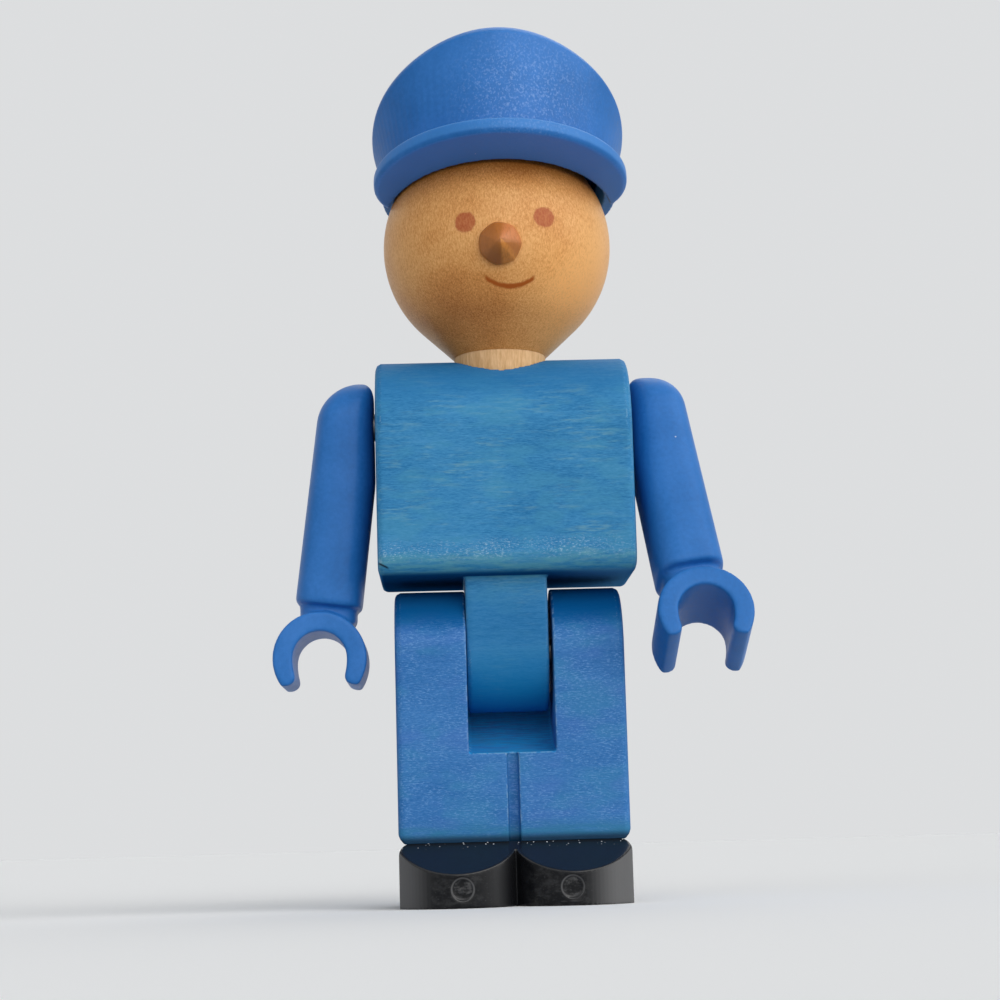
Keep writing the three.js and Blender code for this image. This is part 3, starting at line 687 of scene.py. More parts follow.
def facing(tree, axis, *cut):
    """How far the surface faces along an axis."""
    normal = add(tree, "ShaderNodeNewGeometry").outputs["Normal"]
    return remap(tree, add(tree, "ShaderNodeSeparateXYZ", {0: normal}).outputs[axis], *cut)


def from_line(tree, spot, x, z):
    """How far a point lies from a line along Y."""
    flat = add(tree, "ShaderNodeCombineXYZ", {"X": spot["X"], "Z": spot["Z"]}).outputs[0]
    return add(tree, "ShaderNodeVectorMath", {0: flat, 1: (x, 0, z)}, operation="DISTANCE").outputs["Value"]


def feed(tree, shader, **values):
    """Sets the shader's own sockets, or links them where a node is given."""
    for key, value in values.items():
        socket = shader.inputs[key.replace("_", " ").title().replace("Ior", "IOR")]
        if isinstance(value, bpy.types.NodeSocket):
            tree.links.new(value, socket)
        else:
            socket.default_value = value


def specks(tree, spacing, radius, share, seed=0):
    """Sparse round specks: one in some cells of that spacing."""
    cells = add(tree, "ShaderNodeTexVoronoi", {"Vector": place(tree, (spacing,) * 3, seed), "Scale": 1.0})
    near = remap(tree, cells.outputs["Distance"], radius / spacing, SPECK_CORE * radius / spacing)
    lot = add(tree, "ShaderNodeSeparateColor", {0: cells.outputs["Color"]}).outputs[0]
    return product(tree, near, remap(tree, lot, share, SPECK_FADE * share))


# Materials

def stained(tree, tones, seed):
    """Blue stain on wood whose grain runs along X: its colour and its relief."""
    grains = [noise(tree, seed=seed + i, **grain) for i, grain in enumerate(STAIN_GRAINS)]
    tone = blend(tree, *zip(grains, STAIN_TONE_WEIGHTS))
    return ramp(tree, tone, *zip(STAIN_STOPS, tones)), blend(tree, *zip(grains, STAIN_RELIEF_WEIGHTS))


def torso_stain(name, base, left):
    """Sky blue stain with greenish dashes, a rubbed hem and a small crack at one corner, with painted shade
    on the upward faces, on the tongue under the hem and on the underside, paler to the right there.
    """
    material, tree, shader = surface(name)
    colour, relief = stained(tree, (STAIN_DEEP, STAIN_MID, STAIN_PALE), TORSO_SEED)
    spot = position(tree)
    height = calc(tree, "SUBTRACT", spot["Z"], base)
    aside = calc(tree, "SUBTRACT", spot["X"], left)
    front = facing(tree, *TORSO_FRONT)
    above = remap(tree, height, *DASH_RISE)
    dash = product(tree, pattern(tree, **DASH), pattern(tree, **DASH_PATCH), above)
    haze = product(tree, pattern(tree, **HAZE), above)
    hem = product(tree, band(tree, height, *HEM_BAND), pattern(tree, **HEM_GRAIN), front)
    rubbed = product(tree, band(tree, height, *RUBBED_BAND), pattern(tree, **RUBBED_GRAIN),
                     pattern(tree, **RUBBED_PATCH))
    worn = product(tree, edges(tree, *TORSO_EDGE), pattern(tree, **TORSO_EDGE_GRAIN), front)
    # Painted shade on the underside, paler to the right
    under = product(tree, facing(tree, *TORSO_DOWNWARD_SHADE), remap(tree, height, *UNDERSIDE_SHADE_BAND))
    underside_shade = mix(tree, remap(tree, spot["X"], *UNDERSIDE_SHADE_RIGHT), UNDERSIDE_PAINTED_SHADE, UNDERSIDE_PAINTED_SHADE_RIGHT)
    slant = blend(tree, (height, 1), (aside, CRACK_SLOPE))
    crack = product(tree, band(tree, slant, *CRACK_LINE), band(tree, aside, *CRACK_SPAN),
                    facing(tree, *CRACK_FRONT))
    # Upward faces and the tongue just under the hem are darkened with painted shade
    colour = layered(tree, colour, (dash, STAIN_GREEN), (haze, STAIN_HAZE), (hem, STAIN_HEM),
                     (rubbed, STAIN_WORN), (worn, STAIN_WORN), (facing(tree, *TORSO_UPWARD_SHADE), PAINTED_SHADE_TOP),
                     (remap(tree, height, *TONGUE_SHADE), PAINTED_SHADE_TOP),
                     (remap(tree, height, *TONGUE_END), STAIN_TONGUE_END),
                     (under, underside_shade), (crack, STAIN_CRACK))
    feed(tree, shader, base_color=colour, roughness=remap(tree, relief, *TORSO_ROUGHNESS),
         specular_ior_level=remap(tree, facing(tree, *TORSO_DULL), *TORSO_SPECULAR))
    bump(tree, shader, relief, *TORSO_BUMP)
    return material


def leg_stain(name, foot, hip):
    """Sanded blue stain full of fine bright flecks, plain and darkened by painted shade on the round tops,
    greener at the foot, darkened by painted shade along the foot's edge.
    """
    material, tree, shader = surface(name)
    colour, relief = stained(tree, (LEG_DEEP, LEG_MID, LEG_PALE), LEG_SEED)
    over_foot = calc(tree, "SUBTRACT", position(tree)["Z"], foot)
    over_hip = calc(tree, "SUBTRACT", position(tree)["Z"], hip)
    upward = facing(tree, *LEG_UPWARD)
    fleck = product(tree, pattern(tree, **FLECK), pattern(tree, **FLECK_PATCH), facing(tree, *LEG_FRONT))
    # Painted shade on the round tops under the torso
    top = product(tree, remap(tree, over_hip, *TOP_SHADE_OVER_HIP), upward)
    inside = product(tree, upward, remap(tree, over_hip, *SLOT_UNDER_HIP), pattern(tree, **SLOT_FIBRE))
    strip = product(tree, remap(tree, over_foot, *FOOT_STRIP), pattern(tree, **FOOT_GRAIN))
    worn = product(tree, edges(tree, *LEG_EDGE), pattern(tree, **LEG_EDGE_GRAIN),
                   remap(tree, over_foot, *LEG_EDGE_RISE))
    colour = layered(tree, colour, (pattern(tree, **GREEN_PATCH), LEG_GREEN),
                     (pattern(tree, **VIOLET_PATCH), LEG_VIOLET), (fleck, LEG_FLECK), (top, LEG_TOP_PAINTED_SHADE),
                     (inside, LEG_FIBRE), (strip, LEG_FOOT),
                     # Painted shade along the foot's edge
                     (remap(tree, over_foot, *FOOT_SHADE), LEG_SOLE_PAINTED_SHADE), (worn, STAIN_WORN))
    feed(tree, shader, base_color=colour, roughness=remap(tree, relief, *LEG_ROUGHNESS),
         specular_ior_level=remap(tree, upward, *LEG_SPECULAR))
    bump(tree, shader, relief, *LEG_BUMP)
    return material


def blue_plastic(name, seed):
    """Semi-matt moulding with a fine pebbled skin: its material, nodes, shader and colour."""
    material, tree, shader = surface(name)
    cloud, mottle, pebble = (noise(tree, seed=seed + i, **grain) for i, grain in enumerate(PLASTIC_GRAINS))
    tone = blend(tree, *zip((cloud, mottle), PLASTIC_WEIGHTS))
    colour = ramp(tree, tone, *zip(PLASTIC_STOPS, (PLASTIC_DEEP, PLASTIC_MID, PLASTIC_PALE)))
    dust = product(tree, specks(tree, seed=seed, **PLASTIC_SPECKS), PLASTIC_DUST_SHARE)
    colour = mix(tree, dust, colour, DUST)
    feed(tree, shader, base_color=colour, roughness=remap(tree, mottle, *PLASTIC_ROUGHNESS),
         specular_ior_level=PLASTIC_SPECULAR)
    bump(tree, shader, pebble, *PLASTIC_BUMP)
    return material, tree, shader, colour


def cap_plastic_and_highlights(name, seed, centre):
    """The same moulding, with painted highlights along the visor's top and edge, painted bounce light under
    the visor and a painted highlight with painted glints on the crown's front.
    """
    material, tree, shader, colour = blue_plastic(name, seed)
    spot = position(tree)
    tilt = radians(VISOR_TILT)
    height = calc(tree, "SUBTRACT", spot["Z"], centre)
    level = blend(tree, (height, math.cos(tilt)), (spot["Y"], math.sin(tilt)))
    level = calc(tree, "SUBTRACT", level, VISOR_RIM)
    # Painted highlights on the visor's top, edge and ridge
    face = product(tree, band(tree, level, *VISOR_FACE_HIGHLIGHT), VISOR_FACE_HIGHLIGHT_SHARE)
    ridge_highlight = product(tree, band(tree, level, *VISOR_RIDGE_HIGHLIGHT), VISOR_RIDGE_HIGHLIGHT_SHARE)
    # Painted bounce light on the visor's underside
    under = product(tree, facing(tree, *VISOR_DOWNWARD_LIGHT), remap(tree, level, *VISOR_UNDERSIDE_LIGHT))
    # A painted highlight with painted glints on the crown's front
    away = from_line(tree, spot, HIGHLIGHT_CENTRE[0], centre + HIGHLIGHT_CENTRE[1])
    painted_highlight = product(tree, remap(tree, away, *HIGHLIGHT_FALL), facing(tree, *HIGHLIGHT_FRONT))
    painted_glints = product(tree, pattern(tree, seed=seed + PAINTED_GLINTS_SEED_STEP, **PAINTED_GLINTS), painted_highlight)
    highlight_and_glints = most(tree, painted_glints, product(tree, painted_highlight, PAINTED_HIGHLIGHT_SHARE))
    feed(tree, shader, base_color=layered(tree, colour, (face, PLASTIC_EDGE_HIGHLIGHT), (ridge_highlight, PLASTIC_EDGE_HIGHLIGHT),
                                          (under, VISOR_UNDER_PAINTED_LIGHT), (highlight_and_glints, PLASTIC_PAINTED_GLINT)))
    return material


def toe_mark(tree, spot, side, scuff):
    """Round mark on one toe: a grey ring about a scuffed dish."""
    away = from_line(tree, spot, side * TOE_MARK[0], TOE_MARK[1])
    ring = product(tree, band(tree, away, *TOE_RING), TOE_RING_SHARE)
    dish = product(tree, remap(tree, away, *TOE_DISH), scuff)
    return product(tree, most(tree, ring, dish), facing(tree, *TOE_FRONT))


def black_plastic(name, top):
    """Black moulding: glossy on top, grey to the sides from scuffs and from painted reflection and light on
    the toes' flanks, kept black in the crease between the toes as painted shade, a mark on each toe, dust
    along the seam.
    """
    material, tree, shader = surface(name)
    spot = position(tree)
    upright = rest_of(tree, facing(tree, *SHOE_UPWARD))
    scuff = pattern(tree, **SCUFF)
    right = remap(tree, spot["X"], *SHOES_MIDDLE)
    left = rest_of(tree, right)
    # Scuffs, scratches and toe marks, with painted reflection and light on the toes' flanks
    worn = most(tree, product(tree, scuff, SCUFF_SHARE), pattern(tree, **SCRATCH),
                toe_mark(tree, spot, -1, scuff), toe_mark(tree, spot, 1, scuff),
                product(tree, facing(tree, *RIGHT_FLANK_REFLECTION), right),
                product(tree, facing(tree, *LEFT_FLANK_REFLECTION), left),
                product(tree, facing(tree, *LEFT_INNER_FLANK_LIGHT), left))
    # Painted shade: grey kept out of the crease between the toes
    outside_crease_shade = remap(tree, calc(tree, "ABSOLUTE", spot["X"]), *CREASE_SHADE_SPAN)
    grey = product(tree, worn, upright, outside_crease_shade)
    seam = product(tree, remap(tree, calc(tree, "SUBTRACT", spot["Z"], top), *SEAM_LEVEL),
                   facing(tree, *SEAM_UPWARD))
    dust = most(tree, specks(tree, **SHOE_SPECKS), product(tree, specks(tree, **SEAM_SPECKS), seam))
    colour = layered(tree, SHOE_BLACK, (grey, SHOE_GREY_WEAR_AND_SHEEN), (dust, DUST))
    feed(tree, shader, base_color=colour, roughness=remap(tree, grey, *SHOE_ROUGHNESS),
         specular_ior_level=remap(tree, upright, *SHOE_SPECULAR))
    bump(tree, shader, noise(tree, **SHOE_PEBBLE), *SHOE_BUMP)
    return material


def printed_face(tree, colour):
    """Round eyes and a thin smile, printed flat on the front of the ball."""
    spot = position(tree)
    front = calc(tree, "LESS_THAN", spot["Y"], 0)
    ragged = pattern(tree, **PRINT_RAGGED)
    dots = [remap(tree, calc(tree, "ADD", from_line(tree, spot, *eye), ragged), *EYE_EDGE) for eye in EYES]
    eyes = product(tree, most(tree, *dots), pattern(tree, **PRINT_THIN), front)
    off_arc = calc(tree, "SUBTRACT", from_line(tree, spot, *MOUTH_CENTRE), MOUTH_RADIUS)
    aside = calc(tree, "ABSOLUTE", calc(tree, "SUBTRACT", spot["X"], MOUTH_CENTRE[0]))
    taper = remap(tree, aside, 0, MOUTH_HALF_WIDTH, 0, MOUTH_TAPER)
    off_line = blend(tree, (calc(tree, "ABSOLUTE", off_arc), 1), (ragged, MOUTH_RAGGED), (taper, 1))
    below = calc(tree, "LESS_THAN", spot["Z"], MOUTH_CENTRE[1])
    mouth = product(tree, remap(tree, off_line, *MOUTH_EDGE), remap(tree, aside, *MOUTH_ENDS), below, front)
    return layered(tree, colour, (eyes, EYE_PRINT), (mouth, MOUTH_PRINT))


def lacquered_ball(name, radius):
    """Warm tan lacquer over fine upright dashes, with a painted shadow of the visor at the brow, painted
    shade low on the left, and painted light low down, at the rim and warmly low on the right.
    """
    material, tree, shader = surface(name)
    grains = [noise(tree, **grain) for grain in BALL_GRAINS]
    dash = grains[1]
    spot = position(tree)
    across = calc(tree, "DIVIDE", spot["X"], radius)
    height = calc(tree, "DIVIDE", spot["Z"], radius)
    # Painted light and shade: lighter low down, shaded low on the left, a painted shadow at the brow,
    # painted light at the rim
    low = remap(tree, height, *BALL_LOW_LIGHT_AND_SHADE)
    tone = blend(tree, *zip(grains, BALL_GRAIN_WEIGHTS), (low, BALL_LOW_LIGHT_WEIGHT),
                 (product(tree, low, remap(tree, across, *BALL_LEFT_SHADE)), BALL_LOW_LEFT_SHADE_WEIGHT),
                 (remap(tree, height, *BALL_BROW_SHADOW), BALL_BROW_SHADOW_WEIGHT),
                 (remap(tree, calc(tree, "ABSOLUTE", across), *BALL_RIM_LIGHT), BALL_RIM_LIGHT_WEIGHT))
    colour = ramp(tree, tone, *zip(BALL_STOPS, (BALL_DARK, BALL_MID, BALL_PALE)))
    # Painted warm light low on the right
    warm_light = product(tree, low, remap(tree, across, *BALL_RIGHT_LIGHT), remap(tree, dash, *BALL_WARM_LIGHT_DASH))
    colour = printed_face(tree, mix(tree, warm_light, colour, BALL_WARM_PAINTED_LIGHT))
    feed(tree, shader, base_color=colour, roughness=remap(tree, dash, *BALL_ROUGHNESS),
         specular_ior_level=BALL_SPECULAR)
    bump(tree, shader, dash, *BALL_BUMP)
    return material


def nose_stain_and_shade(name, centre):
    """Red-brown end grain in wedges round the tip; the wedges are painted paler and brighter to the right
    and darker to the lower left, as painted light and shade.
    """
    material, tree, shader = surface(name)
    spot = position(tree)
    height = calc(tree, "SUBTRACT", spot["Z"], centre)
    flat = add(tree, "ShaderNodeCombineXYZ", {"X": spot["X"], "Y": height}).outputs[0]
    # The wedges carry painted light and shade round the tip
    around = add(tree, "ShaderNodeTexGradient", {"Vector": flat}, gradient_type="RADIAL").outputs["Fac"]
    grain = noise(tree, **NOSE_GRAIN)
    colour = mix(tree, remap(tree, grain, *NOSE_GRAIN_SHARE), ramp(tree, around, *NOSE_LIT_AND_SHADED_WEDGES), NOSE_DARK_GRAIN_AND_SHADE)
    feed(tree, shader, base_color=colour, roughness=remap(tree, grain, *NOSE_ROUGHNESS),
         specular_ior_level=NOSE_SPECULAR)
    bump(tree, shader, grain, *NOSE_BUMP)
    return material


def bare_wood(name, lacquer_from):
    """Unpainted dowel, stained where the ball's lacquer has run on to it."""
    material, tree, shader = surface(name)
    streak = noise(tree, **BARE_STREAK)
    fine = noise(tree, **BARE_FINE)
    tone = blend(tree, *zip((streak, fine), BARE_WEIGHTS))
    colour = ramp(tree, tone, *zip(BARE_STOPS, (BARE_DARK, BARE_PALE)))
    height = calc(tree, "SUBTRACT", position(tree)["Z"], lacquer_from)
    run = remap(tree, calc(tree, "ADD", height, pattern(tree, **LACQUER_RAGGED)), *LACQUER_RUN)
    feed(tree, shader, base_color=mix(tree, run, colour, NECK_LACQUER),
         roughness=remap(tree, fine, *BARE_ROUGHNESS), specular_ior_level=BARE_SPECULAR)
    bump(tree, shader, streak, *BARE_BUMP)
    return material


def steel(name):
    """Drawn wire, coloured dark as painted shade where a pin shows in the hip's gap."""
    material, tree, shader = surface(name)
    brushed = noise(tree, **BRUSHED)
    feed(tree, shader, base_color=ramp(tree, brushed, *zip(STEEL_STOPS, (STEEL_DARK_SHADED, STEEL_PALE_SHADED))),
         metallic=1.0, roughness=remap(tree, brushed, *STEEL_ROUGHNESS))
    bump(tree, shader, brushed, *STEEL_BUMP)
    return material


# Pieces

def leg_wood(hip):
    """The leg block, its foot set down on the shoes."""
    legs = copy_of("leg_block", "legs_wood")
    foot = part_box("leg_block")[0][2]
    for vertex in legs.data.vertices:
        if vertex.co.z < foot + SAME * MM:
            vertex.co.z -= SOLE_GAP * MM
    moulded(legs, WOOD_VOXEL, WOOD_SOFTENING)
    trued(legs, hip, LEG_DEPTH / 2, 1)
    return legs


def torso_wood(base, low, high, hip):
    """The torso block: its hem close over the legs, its tongue leaning on the slot's left wall."""
    torso = copy_of("torso_block", "torso_wood")
    for vertex in torso.data.vertices:
        x, z = vertex.co.x / MM, vertex.co.z / MM
        if z < base + SAME and abs(x + TONGUE_HALF) < TONGUE_CORNER:
            vertex.co.x -= TONGUE_SHIFT * MM
        if base - SAME < z < base + HEM_ROUND:
            vertex.co.z -= HEM_DROP * MM * (1 - max(z - base, 0) / HEM_ROUND)
    moulded(torso, WOOD_VOXEL, WOOD_SOFTENING)
    trued(torso, high.z - high.y, high.y, 1)
    trued(torso, hip, hip - low.z, -1)
    return torso


def crest(corner, over):
    """How far a corner has drawn in at a height over its start."""
    width, height = corner
    share = min(max(over / height, 0), 1)
    return width * (1 - math.sqrt(1 - share ** 2))


def sleeve_ring(inner, outer, z, depth, tip):
    """One level of the sleeve: a rounded box, tipped with the arm's lean."""
    ring = []
    for i in range(RING_POINTS):
        angle = 2 * math.pi * (i + 0.5) / RING_POINTS
        across, along = (math.copysign(abs(s) ** (2 / SLEEVE_SQUARENESS), s)
                         for s in (math.cos(angle), math.sin(angle)))
        half = (outer - inner) / 2
        ring.append((inner + half + across * half, along * depth / 2, z + across * half * math.tan(tip)))
    return ring


def sleeve():
    """Sleeve from the round shoulder down to the cuff."""
    top = ARM_DEPTH / 2
    lean = math.tan(radians(ARM_LEAN))
    cuff_inner = ARM_WIDTH + ARM_LENGTH * lean - CUFF_WIDTH
    pad_end = ARM_PAD / ARM_LENGTH
    rings = []

    def level(z, depth, inset=0.0):
        down = max(-z, 0) / ARM_LENGTH
        away = cuff_inner * max(down - pad_end, 0) / (1 - pad_end)
        inner = away + crest(SHOULDER_CREST_IN, z - top + SHOULDER_CREST_IN[1])
        outer = ARM_WIDTH - z * lean - crest(SHOULDER_CREST_OUT, z - top + SHOULDER_CREST_OUT[1])
        tip = radians(ARM_LEAN) * down
        rings.append(sleeve_ring(inner + inset, outer - inset, z, depth - 2 * inset, tip))

    for i in range(ARC_POINTS + 1):
        angle = radians(SHOULDER_CREST_START) * (1 - i / ARC_POINTS)
        level(top * math.sin(angle), 2 * top * math.cos(angle))
    for i in range(1, ARC_POINTS + 1):
        share = i / ARC_POINTS
        level(-share * (ARM_LENGTH - CUFF_ROUND), ARM_DEPTH + share * (CUFF_DEPTH - ARM_DEPTH))
    for i in range(1, CUFF_STEPS + 1):
        angle = math.pi / 2 * i / CUFF_STEPS
        inset = CUFF_ROUND * (1 - math.cos(angle))
        level(-ARM_LENGTH + CUFF_ROUND * (1 - math.sin(angle)), CUFF_DEPTH, inset)
    return skin("sleeve", rings)


def curve(start, bend, end):
    """Points of a quadratic curve, without its start."""
    points = []
    for i in range(1, ARC_POINTS + 1):
        t = i / ARC_POINTS
        points.append(tuple((1 - t) ** 2 * a + 2 * t * (1 - t) * b + t * t * c
                            for a, b, c in zip(start, bend, end)))
    return points


def grip_outline():
    """Open ring with two jaws, mouth down, about the grip's axis."""
    outer = GRIP_RADIUS + GRIP_WALL
    mouth = GRIP_MOUTH / 2
    tip = math.asin(JAW_REACH / outer)
    tip_x = outer * math.cos(tip)
    points = []
    for i in range(2 * ARC_POINTS + 1):
        angle = -tip + (math.pi + 2 * tip) * i / (2 * ARC_POINTS)
        points.append((outer * math.cos(angle), outer * math.sin(angle)))
    lip = (-mouth, -JAW_LIP_DROP)
    points += curve((-tip_x, -JAW_REACH), (-mouth, -JAW_REACH), lip)
    points += curve(lip, (-GRIP_RADIUS, -JAW_LIP_DROP / 2), (-GRIP_RADIUS, 0))
    for i in range(1, 2 * ARC_POINTS):
        angle = math.pi * (1 - i / (2 * ARC_POINTS))
        points.append((GRIP_RADIUS * math.cos(angle), GRIP_RADIUS * math.sin(angle)))
    lip = (mouth, -JAW_LIP_DROP)
    points.append((GRIP_RADIUS, 0))
    points += curve((GRIP_RADIUS, 0), (GRIP_RADIUS, -JAW_LIP_DROP / 2), lip)
    points += curve(lip, (mouth, -JAW_REACH), (tip_x, -JAW_REACH))[:-1]
    return points


def arm(name):
    """Sleeve, wrist and clip hand in one moulding, about the shoulder axis."""
    shell = sleeve()
    bore = turned("bore", ((AXLE_BORE[0], -AXLE_BORE[1]), (AXLE_BORE[0], AXLE_BORE[1])), RING_POINTS)
    reshape(bore, Matrix.Rotation(math.pi / 2, 4, "Y"))
    cut(shell, bore)
    lean = math.tan(radians(ARM_LEAN))
    cuff_x = ARM_WIDTH + ARM_LENGTH * lean - CUFF_WIDTH / 2
    grip_z = -ARM_LENGTH - GRIP_DROP
    wrist_top = WRIST_BITE - ARM_LENGTH
    wrist_foot = grip_z + GRIP_RADIUS + GRIP_WALL / 2
    half = WRIST[0] / 2
    wrist = skin("wrist", [sleeve_ring(cuff_x - half, cuff_x + half, z, WRIST[1], 0)
                           for z in (wrist_top, wrist_foot)])
    outline = [(x + cuff_x + GRIP_OUT, z + grip_z) for x, z in grip_outline()]
    grip = skin("grip", [[(x, y, z) for x, z in outline] for y in (-GRIP_LENGTH / 2, GRIP_LENGTH / 2)])
    join(shell, wrist, grip)
    moulded(shell, PLASTIC_VOXEL, PLASTIC_SOFTENING)
    shell.name = name
    return shell


def tipped_ring(centre, radius, tilt, lift, back_lift=0.0, side_drop=0.0):
    """A circle tipped back about a point and lifted along its axis: more behind, less beside the front."""
    front = Vector((0, -math.cos(radians(tilt)), math.sin(radians(tilt))))
    up = Vector((0, math.sin(radians(tilt)), math.cos(radians(tilt))))
    ring = []
    for i in range(RING_POINTS):
        angle = 2 * math.pi * i / RING_POINTS
        behind = max(-math.cos(angle), 0)
        beside = math.sin(2 * angle) if math.cos(angle) > 0 else 0
        rise = lift + back_lift * behind ** 2 - side_drop * beside ** 2
        point = centre + front * radius * math.cos(angle) + up * rise
        ring.append((radius * math.sin(angle), point.y, point.z))
    return ring


def crown(head_radius, inset):
    """Crown set in by a wall: a round edge and a slightly domed, sloping top."""
    band_radius = head_radius + CAP_BAND_PROUD
    middle = Vector((0, CROWN_BACK, head_radius + CROWN_RISE))
    edge = CROWN_EDGE_ROUND - inset
    circle = band_radius + CROWN_OVERHANG - CROWN_EDGE_ROUND
    rings = [tipped_ring(Vector(), band_radius - CROWN_ROOT - inset, CAP_TILT,
                         CAP_RIM + CAP_BAND_HEIGHT - CROWN_ROOT)]
    for i in range(ARC_POINTS + 1):
        angle = math.pi / 2 * i / ARC_POINTS
        radius = circle + edge * math.cos(angle)
        rings.append(tipped_ring(middle, radius, CROWN_TILT, edge * math.sin(angle), CROWN_BACK_LIFT,
                                 CROWN_SIDE_DROP))
    for i in range(1, ARC_POINTS):
        share = 1 - i / ARC_POINTS
        lift = edge + CROWN_DOME * (1 - share ** 2)
        rings.append(tipped_ring(middle, circle * share, CROWN_TILT, lift, CROWN_BACK_LIFT * share ** 2,
                                 CROWN_SIDE_DROP * share ** 2))
    return skin("crown", rings)


def visor(head_radius):
    """Crescent plate round the front, from inside the socket to a rounded edge."""
    inside = head_radius + CAP_PLAY - VISOR_INSIDE
    rings = []
    for i in range(VISOR_STEPS + 1):
        share = math.sin(math.pi * (i / VISOR_STEPS - 0.5)) * VISOR_TIP
        angle = radians(VISOR_SPAN) * share
        edge = head_radius - VISOR_TIP_SHY + VISOR_REACH * math.sqrt(1 - share ** 2)
        section = (
            (inside, 0), (edge - VISOR_EDGE_ROUND, 0), (edge, VISOR_EDGE_ROUND),
            (edge, VISOR_THICKNESS - VISOR_EDGE_ROUND), (edge - VISOR_EDGE_ROUND, VISOR_THICKNESS),
            (inside, VISOR_THICKNESS))
        rings.append([(r * math.sin(angle), -r * math.cos(angle), VISOR_RIM + h) for r, h in section])
    plate = skin("visor", rings)
    reshape(plate, Matrix.Rotation(-radians(VISOR_TILT), 4, "X"))
    return plate


def ball_outline(radius, start):
    """Radius and height round a ball, from an angle below its equator up to its top."""
    outline = []
    for i in range(BALL_RINGS + 1):
        angle = -start + (math.pi / 2 + start) * i / BALL_RINGS
        outline.append((radius * math.cos(angle), radius * math.sin(angle)))
    return outline


def cap(name, centre, head_radius):
    """Hollow cap. In front its band ends a hair over the visor's underside."""
    band_radius = head_radius + CAP_BAND_PROUD
    shell = turned("band", ((band_radius, CAP_RIM), (band_radius, CAP_RIM + CAP_BAND_HEIGHT)), RING_POINTS)
    reshape(shell, Matrix.Rotation(-radians(CAP_TILT), 4, "X"))
    far = CUTTER_REACH * head_radius
    under_top = VISOR_RIM + VISOR_LIP
    under = turned("under", ((far, under_top - far), (far, under_top)), CUTTER_SIDES)
    reshape(under, Matrix.Rotation(-radians(VISOR_TILT), 4, "X"))
    cut(shell, under)
    join(shell, crown(head_radius, 0), visor(head_radius))
    moulded(shell, CAP_VOXEL, CAP_JOIN_SOFTENING)
    cut(shell, crown(head_radius, CAP_WALL))
    cut(shell, turned("socket", ball_outline(head_radius + CAP_PLAY, math.pi / 2), BALL_SEGMENTS))
    moulded(shell, CAP_VOXEL, CAP_SOFTENING)
    reshape(shell, Matrix.Translation(centre + Vector((CAP_SHIFT * MM, 0, 0))))
    shell.name = name
    return shell


def ball(name, radius):
    """Ball that runs out in a cone to the neck, about its own centre."""
    chin = radians(CHIN_ANGLE)
    outline = ball_outline(radius, chin)
    rim = NECK_RADIUS + CHIN_RIM
    cone_radius, cone_top = outline[0]
    foot = cone_top - (cone_radius - rim) / math.tan(chin)
    obj = turned(name, [(0, foot), (rim, foot), *outline], BALL_SEGMENTS)
    smooth_by_angle(obj)
    return obj


def nose(name, centre, head_radius):
    """Whittled peg: a cone with soft flats."""
    def flats(angle):
        step = 2 * math.pi / NOSE_FACETS
        within = (angle % step) - step / 2
        flat = math.cos(step / 2) / math.cos(within)
        return 1 + NOSE_FACET_SHARE * (flat - 1)

    fine = []
    for (r0, h0), (r1, h1) in zip(NOSE_PROFILE, NOSE_PROFILE[1:]):
        for i in range(NOSE_PROFILE_STEPS):
            share = i / NOSE_PROFILE_STEPS
            fine.append((r0 + (r1 - r0) * share, h0 + (h1 - h0) * share))
    fine.append(NOSE_PROFILE[-1])
    peg = turned(name, fine, RING_POINTS, flats)
    forward = Matrix.Rotation(radians(90 + NOSE_DROP), 4, "X")
    reshape(peg, Matrix.Translation(centre) @ forward @ Matrix.Translation((0, 0, head_radius * MM)))
    peg.data.shade_smooth()
    return peg


def neck(name, foot, top):
    """Dowel with an eased foot."""
    eased = [(NECK_RADIUS - inset, foot + rise) for inset, rise in NECK_EASING]
    dowel = turned(name, [*eased, (NECK_RADIUS, (foot + top) / 2), (NECK_RADIUS, top)], RING_POINTS)
    smooth_by_angle(dowel)
    return dowel


def chamfered(node):
    """A pin carried over from the frame, with its end edges eased."""
    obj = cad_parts[node]
    obj.modifiers.new("weld", "WELD").merge_threshold = PIN_WELD * MM
    bevel = obj.modifiers.new("chamfer", "BEVEL")
    bevel.width = PIN_CHAMFER * MM
    bevel.segments = PIN_CHAMFER_STEPS
    bevel.limit_method = "ANGLE"
    bevel.angle_limit = radians(PIN_EDGE_ANGLE)
    return obj


# Stage

def floor():
    """Pale floor of the backdrop's own tone, duller where it only throws light back."""
    obj = turned("floor", ((FLOOR_RADIUS, -FLOOR_THICKNESS), (FLOOR_RADIUS, 0)), RING_POINTS)
    material, tree, shader = surface("floor")
    seen_colour = [c / FLOOR_LIGHT for c in BACKDROP_COLOUR[:3]] + [1]
    path = add(tree, "ShaderNodeLightPath").outputs
    seen = most(tree, path["Is Camera Ray"], path["Is Glossy Ray"])
    feed(tree, shader, base_color=mix(tree, seen, FLOOR_BOUNCE_COLOUR, seen_colour),
         roughness=FLOOR_ROUGHNESS, specular_ior_level=0.0)
    obj.data.materials.append(material)


